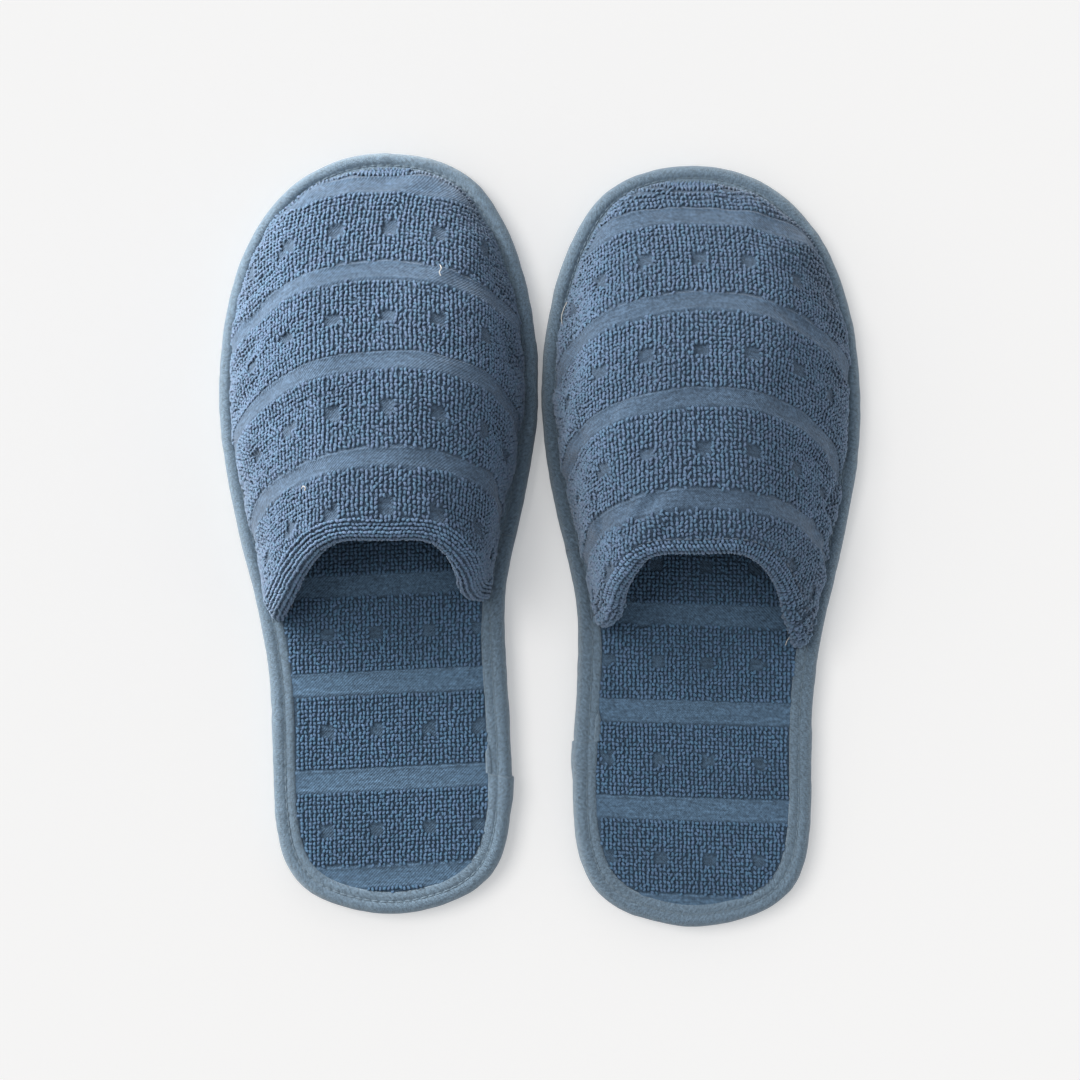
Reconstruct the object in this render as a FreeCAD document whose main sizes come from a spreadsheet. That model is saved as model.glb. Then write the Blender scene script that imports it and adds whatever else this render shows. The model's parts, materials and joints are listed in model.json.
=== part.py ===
import FreeCAD, Part
import os
import Sketcher
from FreeCAD import Vector

# A pair of closed-toe, open-heel terry spa slippers, millimetres.
# Toes point to +Y, the sole rests on z = 0, +X is to the wearer's right.
# The left slipper is drawn about its own axis and then moved to its place in
# the pair; the right slipper is its mirror image, turned and shifted a little.
#
# Build-up of one slipper, from the floor up:
#   EVA outsole with a rebate round its edge, foam midsole, terry insole,
#   all three held at the edge by a C-shaped woven binding tape sewn down with
#   one row of stitches; over the front two thirds stands the padded upper:
#   terry shell outside, foam in the middle, thin lining inside, sewn along
#   the throat hem.
# The sole layers and their binding are split into front and heel pieces.

doc = FreeCAD.newDocument("spa_slippers")
dims = doc.addObject("Spreadsheet::Sheet", "Dims")

# ---------------------------------------------------------------- dimensions
# Text starting with "=" is worked out in the sheet from the entries above it.
DIMENSIONS = {
    # place of the two slippers in the pair; the turn is in degrees
    "left_place_x": -57.117,
    "left_place_y": 2.0015,
    "right_shift_x": 0.63,
    "right_shift_y": -4.62,
    "right_turn": 0.7,

    # levels above the floor
    "layer_gap": 0.05,
    "rebate_depth": 1.00,           # the tread pad stands this far below the slab
    "outsole_top": 3.90,
    "midsole_low": "=outsole_top + layer_gap",
    "midsole_top": 8.00,
    "insole_low": "=midsole_top + layer_gap",
    "insole_flange_top": 9.50,
    "insole_top": 11.50,
    "tape_under": 0.90,             # top of the tape leaf under the sole
    "tape_inner_top": 9.60,         # underside of the tape's upper leaf
    "tape_top": 10.70,
    "thread_low": "=tape_top + layer_gap",
    "thread_top": 11.15,
    "hem_thread_low": 11.0,         # the hem stitches stop just above the tape
    "upper_base": "=tape_inner_top",

    # insets from the outer edge of the binding
    "tape_wall": 1.20,
    "layer_inset": 1.35,
    "tread_inset": 8.20,
    "tape_bottom_leaf": 8.00,
    "tape_top_leaf_front": 7.80,
    "tape_top_leaf_heel": 8.60,
    "pile_inset_front": 14.30,
    "pile_inset_heel": 8.90,
    "thread_outer": 5.00,
    "thread_inner": 5.65,

    "tape_round": 1.90,             # fillet radius of the tape's outer edges

    # flex line across the sole, where front and heel pieces part
    "flex_y": -44.0,
    "flex_gap": 0.30,
    "flex_half_gap": "=flex_gap / 2",

    # sizes of cuts that reach past the slipper
    "overcut": 1.0,
    "half_size": 320.0,
    "throat_reach": 200.0,

    # depths of the upper's surfaces, inwards from the outside of the shell
    "cloth_gap": 0.10,
    "shell_out": 0.0,
    "shell_in": 2.40,
    "padding_out": "=shell_in + cloth_gap",
    "padding_in": 4.50,
    "lining_out": "=padding_in + cloth_gap",
    "lining_in": 5.40,
    "thread_skin_out": -0.45,
    "thread_skin_in": -0.08,

    # the two sides of the hem stitches, measured from the throat edge
    "hem_stitch_far": 5.70,
    "hem_stitch_near": 5.00,
}

# control points (x, y) of the sole outline, counter-clockwise from above
OUTLINE = [
    (42.32, -26.91), (47.37, -4.68), (58.36, 42.27), (55.17, 89.61), (39.41, 128.29),
    (19.80, 139.04), (-0.51, 141.36), (-18.86, 138.57), (-39.57, 126.69), (-57.72, 97.07),
    (-63.72, 44.71), (-53.45, -2.76), (-44.87, -34.17), (-40.61, -65.08), (-42.64, -125.13),
    (-17.13, -138.02), (1.69, -140.39), (13.77, -139.30), (46.37, -128.76), (47.58, -79.86)]
MITRE_LIMIT = 0.6   # least cosine used to lengthen a mitre

# control points of the arch, from the foot to the top: x and z as fractions
# of its width and height, then the further x and z of a full lean, which
# only the outer (-X) side and the top take
ARCH = {
    "low": (0.0, 0.38, 0.015, -0.07),
    "shoulder": (0.045, 0.80, 0.10, -0.16),
    "crown": (0.24, 0.985, 0.075, -0.03),
    "top": (0.5, 1.0075, 0.03, 0.0)}
ARCH_COLUMNS = ("arch_%s_x", "arch_%s_z", "lean_%s_x", "lean_%s_z")

# stations of the upper, from the toe back: place along the slipper, left and
# right foot of the arch, top of the arch, how far each of the four moves per
# millimetre of offset inwards, then how far the outer side of the foot falls
# away from the crown (0 upright, 1 a full slope)
STATIONS = [
    (131.8, -7.7, 9.2, 11.6, 1.00, 0.08, 0.08, 0.05, 0.00),
    (129.2, -17.4, 19.5, 15.2, 1.00, 0.20, 0.20, 0.25, 0.00),
    (123.4, -27.7, 28.5, 20.2, 1.00, 0.36, 0.43, 0.45, 0.05),
    (112.6, -37.9, 36.1, 28.0, 0.90, 0.60, 0.67, 0.65, 0.15),
    (96.4, -46.3, 42.6, 37.6, 0.60, 0.85, 0.86, 0.90, 0.35),
    (75.5, -51.4, 47.2, 47.4, 0.30, 0.97, 0.97, 1.00, 0.60),
    (50.0, -53.1, 48.4, 55.2, 0.10, 1.00, 1.00, 1.02, 0.85),
    (24.0, -50.6, 45.4, 58.8, 0.00, 1.01, 1.02, 1.00, 1.00),
    (0.0, -45.5, 40.3, 60.2, 0.00, 1.03, 1.03, 1.00, 1.00),
    (-22.0, -40.1, 36.4, 60.4, 0.00, 1.03, 1.01, 1.00, 1.00),
    (-48.0, -35.2, 36.6, 59.5, 0.00, 1.01, 1.00, 1.00, 1.00)]
STATION_COLUMNS = ("st_at", "st_left", "st_right", "st_top",
                   "st_k_at", "st_k_left", "st_k_right", "st_k_top", "st_lean")

# plan curve of the throat opening, from -X to +X: x, y of each control point,
# then its x and y movement per millimetre of distance out of the opening
THROAT = [
    (-49.0, -62.0, -0.6, 0.3), (-41.0, -47.0, -0.9, 0.4), (-36.6, -32.0, -0.95, 0.45),
    (-30.5, -14.0, -0.75, 0.75), (-16.0, -1.0, -0.30, 1.0), (3.0, -3.2, 0.0, 1.0),
    (21.5, -1.0, 0.30, 1.0), (31.2, -13.4, 0.75, 0.75), (35.6, -29.0, 0.95, 0.45),
    (39.6, -43.0, 0.9, 0.4), (50.0, -66.0, 0.6, 0.3)]
THROAT_COLUMNS = ("throat_x", "throat_y", "throat_wx", "throat_wy")


def mitre(i):
    """The way outline point i moves per millimetre of inset, which keeps it at
    the same distance from both neighbouring sides of the control polygon."""
    before, point, after = OUTLINE[i - 1], OUTLINE[i], OUTLINE[(i + 1) % len(OUTLINE)]
    normals = []
    for start, end in ((before, point), (point, after)):
        along = Vector(end[0] - start[0], end[1] - start[1], 0)
        along.normalize()
        normals.append(Vector(-along.y, along.x, 0))
    way = normals[0] + normals[1]
    way.normalize()
    way = way * (1.0 / max(MITRE_LIMIT, way.dot(normals[0])))
    return round(way.x, 4), round(way.y, 4)


# ---------------------------------------------------------------- the sheet
aliases = []


def cell(name, value):
    """Writes one named row: a number, or a formula given as text."""
    aliases.append(name)
    row = len(aliases)
    dims.set("A%d" % row, name)
    dims.set("B%d" % row, value if isinstance(value, str) else repr(float(value)))
    dims.setAlias("B%d" % row, name)


def table(columns, rows):
    """Writes a table, each alias being the column's name and the row's number."""
    for i, row in enumerate(rows):
        for column, value in zip(columns, row):
            cell("%s_%02d" % (column, i), value)


for name, value in DIMENSIONS.items():
    cell(name, value)
for part, row in ARCH.items():
    for column, value in zip(ARCH_COLUMNS, row):
        cell(column % part, value)
table(("edge_x", "edge_y", "way_x", "way_y"),
      [point + mitre(i) for i, point in enumerate(OUTLINE)])
table(STATION_COLUMNS, STATIONS)
table(THROAT_COLUMNS, THROAT)
doc.recompute()


class Bound:
    """A number together with the expression that ties it to the sheet."""

    def __init__(self, value, text):
        self.value = value
        self.text = text

    def __add__(self, other):
        return Bound(self.value + other.value, "(%s + %s)" % (self.text, other.text))

    def __sub__(self, other):
        return Bound(self.value - other.value, "(%s - %s)" % (self.text, other.text))

    def __mul__(self, other):
        return Bound(self.value * other.value, "(%s * %s)" % (self.text, other.text))

    def __neg__(self):
        return Bound(-self.value, "(-%s)" % self.text)


def dim(name):
    return Bound(float(getattr(dims, name)), "Dims." + name)


def moved_points(place, way, count, distance):
    """The points of a table, moved along their ways by the named distance."""
    points = []
    for i in range(count):
        point = [dim("%s%s_%02d" % (place, axis, i)) for axis in "xy"]
        if distance is not None:
            ways = [dim("%s%s_%02d" % (way, axis, i)) for axis in "xy"]
            point = [p + dim(distance) * w for p, w in zip(point, ways)]
        points.append(point)
    return points


# ---------------------------------------------------------------- sketches
def new_sketch(body, name, role, offset=None):
    """A sketch on the body's origin plane of that role, offset along its normal."""
    plane = next(f for f in body.Origin.OriginFeatures if f.Role == role)
    sketch = body.newObject("Sketcher::SketchObject", name)
    sketch.AttachmentSupport = [(plane, "")]
    sketch.MapMode = "FlatFace"
    if offset is not None:
        sketch.setExpression("AttachmentOffset.Base.z", offset.text)
    return sketch


def vector(point):
    return Vector(point[0].value, point[1].value, 0)


def pin(sketch, geometry, vertex, point):
    """Holds a vertex of the geometry at a bound place."""
    for kind, length in zip(("DistanceX", "DistanceY"), point):
        k = sketch.addConstraint(
            Sketcher.Constraint(kind, -1, 1, geometry, vertex, length.value))
        sketch.setExpression("Constraints[%d]" % k, length.text)


def join(sketch, first, second):
    """The end of the first curve meets the start of the second."""
    sketch.addConstraint(Sketcher.Constraint("Coincident", first, 2, second, 1))


def add_line(sketch, start, end):
    return sketch.addGeometry(Part.LineSegment(vector(start), vector(end)), False)


def spline(sketch, points, periodic):
    """A cubic B-spline whose control points are bound to the sheet."""
    poles = [vector(p) for p in points]
    count = len(poles)
    if periodic:
        mults = [1] * (count + 1)
    else:
        mults = [4] + [1] * (count - 4) + [4]
    curve = Part.BSplineCurve()
    curve.buildFromPolesMultsKnots(poles, mults, list(range(len(mults))), periodic, 3)
    geometry = sketch.addGeometry(curve, False)
    first = None
    for i, pole in enumerate(poles):
        circle = sketch.addGeometry(Part.Circle(pole, Vector(0, 0, 1), 1.0), True)
        sketch.addConstraint(Sketcher.Constraint(
            "InternalAlignment:Sketcher::BSplineControlPoint", circle, 3, geometry, i))
        if first is None:
            first = circle
            sketch.addConstraint(Sketcher.Constraint("Weight", circle, 1.0))
        else:
            sketch.addConstraint(Sketcher.Constraint("Equal", first, circle))
    for i, point in enumerate(points):
        pin(sketch, first + i, 3, point)
    return geometry


def outline_sketch(body, name, inset, level):
    """The sole outline, set in by the named inset, at the named level."""
    sketch = new_sketch(body, name, "XY_Plane", None if level is None else dim(level))
    spline(sketch, moved_points("edge_", "way_", len(OUTLINE), inset), True)
    return sketch


# ---------------------------------------------------------------- features
def outline_pad(body, part, tag, inset, low, high):
    """An outline pad between two named levels; low None is the floor."""
    sketch = outline_sketch(body, "%s_sk_%s" % (part, tag), inset, low)
    feature = body.newObject("PartDesign::Pad", "%s_%s" % (part, tag))
    feature.Profile = sketch
    height = dim(high) if low is None else dim(high) - dim(low)
    feature.setExpression("Length", height.text)
    return feature


def outline_pocket(body, part, tag, inset, top, depth):
    """An outline pocket cut downwards from the named level."""
    sketch = outline_sketch(body, "%s_sk_%s" % (part, tag), inset, top)
    feature = body.newObject("PartDesign::Pocket", "%s_%s" % (part, tag))
    feature.Profile = sketch
    feature.setExpression("Length", depth.text)


def cut_through(body, name, sketch):
    """Cuts the sketch right through, both ways from its plane."""
    feature = body.newObject("PartDesign::Pocket", name)
    feature.Profile = sketch
    feature.Type = "ThroughAll"
    feature.Midplane = True


def cut_band(body, name, sketch_name, role, low, high):
    """Cuts away a wide band between two heights of the sketch."""
    sketch = new_sketch(body, sketch_name, role)
    reach = dim("half_size")
    corners = [(-reach, low), (reach, low), (reach, high), (-reach, high)]
    lines = [add_line(sketch, corners[k], corners[(k + 1) % 4]) for k in range(4)]
    for k in range(4):
        join(sketch, lines[k], lines[(k + 1) % 4])
    for k, direction in ((0, "Horizontal"), (2, "Horizontal"), (1, "Vertical"), (3, "Vertical")):
        sketch.addConstraint(Sketcher.Constraint(direction, lines[k]))
    pin(sketch, lines[0], 1, corners[0])
    pin(sketch, lines[2], 1, corners[2])
    cut_through(body, name, sketch)


def keep_half(body, tag, side):
    """Cuts the piece away on the other side of the flex line."""
    flex, gap, reach = dim("flex_y"), dim("flex_half_gap"), dim("half_size")
    low, high = (flex - reach, flex + gap) if side == "front" else (flex - gap, flex + reach)
    name = "half_" + tag
    cut_band(body, name, name + "_line", "XY_Plane", low, high)


def new_body(name):
    body = doc.addObject("PartDesign::Body", "left_" + name)
    body.Label = "left_" + name
    return body


# ---------------------------------------------------------------- sole layers
def outsole(side):
    """EVA: a tread pad set in from the edge and a wider slab above it, leaving
    the rebate that the tape folds into."""
    body, tag = new_body("outsole_" + side), "o" + side
    outline_pad(body, "slab", tag, "layer_inset", "rebate_depth", "outsole_top")
    outline_pad(body, "tread", tag, "tread_inset", None, "rebate_depth")
    keep_half(body, tag, side)
    return body


def midsole(side):
    """Foam slab."""
    body, tag = new_body("midsole_" + side), "m" + side
    outline_pad(body, "slab", tag, "layer_inset", "midsole_low", "midsole_top")
    keep_half(body, tag, side)
    return body


def insole(side):
    """Terry: flat cloth edge under the tape, pile standing up inside it."""
    body, tag = new_body("insole_" + side), "i" + side
    outline_pad(body, "flange", tag, "layer_inset", "insole_low", "insole_flange_top")
    outline_pad(body, "pile", tag, "pile_inset_" + side, "insole_flange_top", "insole_top")
    keep_half(body, tag, side)
    return body


def binding(side):
    """Tape: a C that wraps the edge of all three layers."""
    body, tag = new_body("binding_" + side), "b" + side
    under, inner_top, top = dim("tape_under"), dim("tape_inner_top"), dim("tape_top")
    roll = outline_pad(body, "roll", tag, None, None, "tape_top")
    # the level edges can be picked only once the solid is built
    doc.recompute()
    rims = ["Edge%d" % (k + 1) for k, edge in enumerate(roll.Shape.Edges)
            if edge.BoundBox.ZLength < 0.01]
    fillet = body.newObject("PartDesign::Fillet", "round_" + tag)
    fillet.Base = (roll, rims)
    fillet.setExpression("Radius", "Dims.tape_round")
    outline_pocket(body, "window_low", tag, "tape_bottom_leaf", "tape_under",
                   under + dim("overcut"))
    outline_pocket(body, "window_top", tag, "tape_top_leaf_" + side, "tape_top",
                   top - inner_top)
    outline_pocket(body, "channel", tag, "tape_wall", "tape_inner_top", inner_top - under)
    keep_half(body, tag, side)
    return body


def binding_thread(side):
    """The row of stitches that closes the tape."""
    body, tag = new_body("binding_thread_" + side), "t" + side
    outline_pad(body, "row", tag, "thread_outer", "thread_low", "thread_top")
    outline_pocket(body, "hole", tag, "thread_inner", "thread_top",
                   dim("thread_top") - dim("thread_low"))
    keep_half(body, tag, side)
    return body


# ---------------------------------------------------------------- the upper
def arch_sketch(body, name, i, depth):
    """Cross-section of the upper at station i, set in by the named depth."""
    inward, base = dim(depth), dim("upper_base")
    at, left, right, top, k_at, k_left, k_right, k_top, lean = [
        dim("%s_%02d" % (column, i)) for column in STATION_COLUMNS]
    left = left + inward * k_left
    right = right - inward * k_right
    width = right - left
    height = top - inward * k_top - base

    points = [(left, base)]
    for part in ("low", "shoulder", "crown", "top"):
        x, z, lean_x, lean_z = [dim(column % part) for column in ARCH_COLUMNS]
        points.append((left + (x + lean * lean_x) * width,
                       base + (z + lean * lean_z) * height))
    for part in ("crown", "shoulder", "low"):
        x, z = [dim(column % part) for column in ARCH_COLUMNS[:2]]
        points.append((right - x * width, base + z * height))
    points.append((right, base))

    # the normal of the XZ plane points to -Y, so the offset is negative
    sketch = new_sketch(body, name, "XZ_Plane", -(at - inward * k_at))
    curve = spline(sketch, points, False)
    floor = add_line(sketch, points[-1], points[0])
    join(sketch, curve, floor)
    join(sketch, floor, curve)
    return sketch


def arch_loft(body, name, depth, kind):
    """A loft of that kind (Additive or Subtractive) through all the stations."""
    sections = [arch_sketch(body, "%s_arch_%02d" % (name, i), i, depth)
                for i in range(len(STATIONS))]
    feature = body.newObject("PartDesign::%sLoft" % kind, name)
    feature.Profile = sections[0]
    feature.Sections = sections[1:]
    feature.Ruled = False
    feature.Closed = False


def throat_cut(body, name, distance, forward):
    """Cuts behind the throat curve, moved out of the opening by the named
    distance, or in front of it."""
    sketch = new_sketch(body, name + "_curve", "XY_Plane")
    points = moved_points("throat_", "throat_w", len(THROAT), distance)
    curve = spline(sketch, points, False)
    start, end = points[0], points[-1]
    reach = dim("throat_reach")
    if forward:
        corners = [end, (reach, end[1]), (reach, reach),
                   (-reach, reach), (-reach, start[1]), start]
    else:
        corners = [end, (reach, -reach), (-reach, -reach), start]
    lines = [add_line(sketch, a, b) for a, b in zip(corners, corners[1:])]
    loop = [curve] + lines + [curve]
    for first, second in zip(loop, loop[1:]):
        join(sketch, first, second)
    for line, corner in zip(lines[1:], corners[1:]):
        pin(sketch, line, 1, corner)
    cut_through(body, name, sketch)


def upper_layer(layer):
    """One layer of the upper: shell, padding or lining."""
    name = "upper_" + layer
    body = new_body(name)
    arch_loft(body, name + "_outside", layer + "_out", "Additive")
    arch_loft(body, name + "_inside", layer + "_in", "Subtractive")
    throat_cut(body, name + "_throat", None, False)
    return body


def hem_thread():
    """The row of stitches that holds the turned hem, outside the shell."""
    body = new_body("hem_thread")
    arch_loft(body, "hem_outside", "thread_skin_out", "Additive")
    arch_loft(body, "hem_inside", "thread_skin_in", "Subtractive")
    throat_cut(body, "hem_near", "hem_stitch_near", False)
    throat_cut(body, "hem_far", "hem_stitch_far", True)
    cut_band(body, "hem_ends", "hem_ends_box", "XZ_Plane",
             -dim("half_size"), dim("hem_thread_low"))
    return body


# ---------------------------------------------------------------- the pair
def mirrored(body):
    """The right slipper's copy of a left piece, turned about its own axis."""
    mirror = doc.addObject("Part::Mirroring", body.Name.replace("left_", "right_"))
    mirror.Label = body.Label.replace("left_", "right_")
    mirror.Source = body
    mirror.Normal = Vector(1, 0, 0)
    mirror.Base = Vector(0, 0, 0)
    mirror.setExpression(
        "Placement",
        "placement(vector(Dims.right_shift_x; Dims.right_shift_y; 0); "
        "rotation(vector(0; 0; 1); Dims.right_turn); "
        "vector(-Dims.left_place_x; Dims.left_place_y; 0))")
    return mirror


left_pieces = []
for side in ("front", "heel"):
    for build in (outsole, midsole, insole, binding, binding_thread):
        left_pieces.append(build(side))
for layer in ("shell", "padding", "lining"):
    left_pieces.append(upper_layer(layer))
left_pieces.append(hem_thread())
doc.recompute()

for body in left_pieces:
    body.setExpression("Placement.Base.x", "Dims.left_place_x")
    body.setExpression("Placement.Base.y", "Dims.left_place_y")
doc.recompute()
pieces = left_pieces + [mirrored(body) for body in left_pieces]
doc.recompute()

# ---------------------------------------------------------------- checks, files
for item in doc.Objects:
    if "Invalid" in item.State or "Error" in item.State:
        raise RuntimeError("%s failed: %s" % (item.Label, item.State))
for piece in pieces:
    if piece.Shape.isNull() or not piece.Shape.isValid() or len(piece.Shape.Solids) < 1:
        raise RuntimeError("%s has no valid solid" % piece.Label)

os.makedirs("parts", exist_ok=True)
for piece in pieces:
    piece.Shape.exportStep(os.path.join("parts", piece.Label + ".step"))
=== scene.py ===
# A pair of backless terry slippers standing side by side on a floor at z = 0, toes to +y.
#
# Both are drawn from one pattern, in millimetres about the slipper's own axis: x to the
# inner side of the foot, y to the toe, z up. world() mirrors the right one, turns each
# to its place in the frame and changes to metres.
import json
import math
from types import SimpleNamespace

import bpy
import numpy as np
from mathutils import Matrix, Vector

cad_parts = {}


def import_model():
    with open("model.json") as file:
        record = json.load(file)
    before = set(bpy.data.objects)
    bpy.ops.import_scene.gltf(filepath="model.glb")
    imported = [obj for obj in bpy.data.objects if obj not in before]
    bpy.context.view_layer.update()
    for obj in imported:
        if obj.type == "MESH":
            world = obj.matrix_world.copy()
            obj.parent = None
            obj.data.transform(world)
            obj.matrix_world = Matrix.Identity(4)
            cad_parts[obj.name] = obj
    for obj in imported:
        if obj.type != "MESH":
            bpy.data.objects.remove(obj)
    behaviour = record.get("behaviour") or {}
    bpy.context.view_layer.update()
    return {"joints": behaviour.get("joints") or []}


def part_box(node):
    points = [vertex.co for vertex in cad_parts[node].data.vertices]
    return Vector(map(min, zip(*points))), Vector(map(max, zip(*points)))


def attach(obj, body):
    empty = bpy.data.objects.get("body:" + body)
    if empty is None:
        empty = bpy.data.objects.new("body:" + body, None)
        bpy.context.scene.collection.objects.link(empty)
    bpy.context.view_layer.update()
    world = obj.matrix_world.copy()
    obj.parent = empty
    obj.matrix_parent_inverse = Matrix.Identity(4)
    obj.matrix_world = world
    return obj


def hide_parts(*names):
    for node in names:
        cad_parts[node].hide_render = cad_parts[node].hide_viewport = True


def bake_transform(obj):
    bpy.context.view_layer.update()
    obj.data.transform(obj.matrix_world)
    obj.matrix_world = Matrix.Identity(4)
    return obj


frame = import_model()
MM = 1000.0
TAU = 2 * math.pi

# =====================================================================
# pattern, in millimetres
# =====================================================================
# control points of the sole's edge (x, y), anticlockwise from the inner waist
OUTLINE = np.array([
    (42.32, -26.91), (47.37, -4.68), (58.36, 42.27), (55.17, 89.61), (39.41, 128.29),
    (19.80, 139.04), (-0.51, 141.36), (-18.86, 138.57), (-39.57, 126.69), (-57.72, 97.07),
    (-63.72, 44.71), (-53.45, -2.76), (-44.87, -34.17), (-40.61, -65.08), (-42.64, -125.13),
    (-17.13, -138.02), (1.69, -140.39), (13.77, -139.30), (46.37, -128.76), (47.58, -79.86)])

# cross-sections of the upper from toe to throat: y, outer x, inner x, crown z; then the
# share of a depth below the surface by which each of these four moves; then how far the
# outer shoulder slopes (0 upright, 1 sloping)
STATIONS = np.array([
    (131.8, -7.7, 9.2, 11.6, 1.00, 0.08, 0.08, 0.05, 0.00),
    (129.2, -17.4, 19.5, 15.2, 1.00, 0.20, 0.20, 0.25, 0.00),
    (123.4, -27.7, 28.5, 20.2, 1.00, 0.36, 0.43, 0.45, 0.05),
    (112.6, -37.9, 36.1, 28.0, 0.90, 0.60, 0.67, 0.65, 0.15),
    (96.4, -46.3, 42.6, 37.6, 0.60, 0.85, 0.86, 0.90, 0.35),
    (75.5, -51.4, 47.2, 47.4, 0.30, 0.97, 0.97, 1.00, 0.60),
    (50.0, -53.1, 48.4, 55.2, 0.10, 1.00, 1.00, 1.02, 0.85),
    (24.0, -50.6, 45.4, 58.8, 0.00, 1.01, 1.02, 1.00, 1.00),
    (0.0, -45.5, 40.3, 60.2, 0.00, 1.03, 1.03, 1.00, 1.00),
    (-22.0, -40.1, 36.4, 60.4, 0.00, 1.03, 1.01, 1.00, 1.00),
    (-48.0, -35.2, 36.6, 59.5, 0.00, 1.01, 1.00, 1.00, 1.00)])
# control points of the throat seen from above (x, y), from the outer side to the inner
THROAT = np.array([
    (-49.0, -62.0), (-41.0, -47.0), (-36.6, -32.0), (-30.5, -14.0), (-16.0, -1.0), (3.0, -3.2),
    (21.5, -1.0), (31.2, -13.4), (35.6, -29.0), (39.6, -43.0), (50.0, -66.0)])
BASE_Z = 9.6                      # foot of the upper

FLEX_Y = -44.0                    # line the heel bends about
BEND_FRONT, BEND_BACK = 10.0, 18.0    # reach of the bend either side of it

# the cloth: woven bands across the slipper, with a row of small squares between them
BAND_PITCH = 35.7
SQUARE_PITCH = 18.5
INSOLE_BAND, INSOLE_SQUARE = 8.5, 4.5     # widths on the insole
UPPER_BAND, UPPER_SQUARE = 7.4, 4.9       # widths on the upper
CLOTH_DEPTH = 1.75                # terry ground below the outside of the upper
HEM_RADIUS = 2.1                  # ground cloth of the rolled hem, at its ends
HEM_SWELL = 0.35                  # added to that radius between the ends
ROLL_START = 3.0                  # outer hem rows begin this far from the hem line
HEM_ROW_PITCH, HEM_LOOP_PITCH = 1.44, 1.48
TAU_PER_MM = 0.0062               # change of the dome's tau for 1 mm towards the throat

SEAM_INSET = 1.6                  # edge of the outsole slab and the midsole
STITCH_INSET = 5.15               # line of stitches in the tape
STITCH_PITCH = 3.3

# What differs between the two slippers.
#   seed            for all noise and random draws
#   insole_*        y of a band, x of a square, slope of the bands
#   square_arc, crown_arc   middle of a square and of the bands, as arc from the crown
#   crown_rows      (y of the crown, distance t along the cloth)
#   ease            fullness cut into the cloth
#   hem_width       hem line to hem stitches
#   hem_yaw         turn of the hem loops
#   wing_*          how much further the hem's ends reach back, in tau
#   fold            a fold near the outer end of the throat (x, y)
#   creases         (length along the hem from its outer end, or back from its inner end
#                   when negative; depth; reach)
#   thread_ends     loose threads (x, y, height above the cloth)
#   lap_y           lap joint of the tape, on the inner side
SETTINGS = {
    "left": dict(
        seed=11, insole_band_y=-18.2, insole_square_x=-2.5, insole_tilt=0.047,
        square_arc=3.4, crown_arc=4.0,
        crown_rows=np.array([
            (131.8, -6.6), (125.9, 0.0), (93.0, BAND_PITCH), (60.8, 2 * BAND_PITCH),
            (26.6, 3 * BAND_PITCH), (-8.2, 4 * BAND_PITCH)]),
        ease=0.035, hem_width=7.6, hem_yaw=0.10, wing_outer=0.004, wing_inner=0.0,
        fold=[], creases=[(12.0, 0.5, 10.0), (-11.0, 0.5, 12.0)],
        thread_ends=[
            [(21.6, 95.6, 1.2), (22.4, 94.0, 2.0), (21.5, 92.6, 1.6), (22.2, 91.0, 1.0)],
            [(-25.6, 15.6, 1.2), (-25.0, 16.8, 1.9), (-24.0, 16.2, 1.5), (-24.4, 14.8, 1.1)]],
        lap_y=-89.2),
    "right": dict(
        seed=47, insole_band_y=-24.8, insole_square_x=-3.1, insole_tilt=0.044,
        square_arc=1.3, crown_arc=1.0,
        crown_rows=np.array([
            (131.8, -14.0), (119.3, 0.0), (86.3, BAND_PITCH), (51.8, 2 * BAND_PITCH),
            (17.0, 3 * BAND_PITCH), (-17.8, 4 * BAND_PITCH)]),
        ease=0.045, hem_width=5.2, hem_yaw=1.20, wing_outer=0.034, wing_inner=0.024,
        fold=[(-48.2, 25.2), (-43.4, 13.9), (-44.8, 5.6), (-41.1, -3.3), (-42.1, -9.3),
              (-41.0, -14.0)],
        creases=[(8.0, 1.0, 12.0), (12.6, 1.2, 14.0), (17.0, 1.1, 13.0), (22.0, 1.3, 14.0),
                 (27.5, 0.9, 12.0), (-8.0, 1.1, 12.0), (-13.0, 1.3, 14.0), (-18.5, 1.0, 13.0),
                 (-26.0, 0.8, 12.0)],
        thread_ends=[
            [(-33.6, -31.0, 0.8), (-33.2, -33.0, 1.8), (-31.9, -34.6, 2.0), (-31.4, -36.4, 1.4)],
            [(46.6, 90.5, 1.6), (47.9, 88.0, 1.9), (48.9, 85.0, 1.8), (48.6, 81.5, 1.4)]],
        lap_y=-71.3)}


# =====================================================================
# curves, tables and noise
# =====================================================================
def unit(a):
    return a / np.maximum(np.linalg.norm(a, axis=-1, keepdims=True), 1e-12)


def smooth01(x):
    x = np.clip(x, 0, 1)
    return x * x * (3 - 2 * x)


def bell(x, width):
    return np.exp(-(x / width) ** 2)


def arc_lengths(points):
    steps = np.linalg.norm(np.diff(points, axis=0), axis=1)
    return np.concatenate([[0], np.cumsum(steps)])


def columns_at(q, x, table):
    """Each column of a table over x, read at q."""
    return np.stack([np.interp(q, x, column) for column in table.T], -1)


def bilinear(table, row, column):
    """A table read between its cells."""
    row = np.clip(row, 0, table.shape[0] - 1.001)
    column = np.clip(column, 0, table.shape[1] - 1.001)
    i, j = row.astype(int), column.astype(int)
    a, b = row - i, column - j
    return ((1 - a) * (1 - b) * table[i, j] + a * (1 - b) * table[i + 1, j]
            + (1 - a) * b * table[i, j + 1] + a * b * table[i + 1, j + 1])


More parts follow.
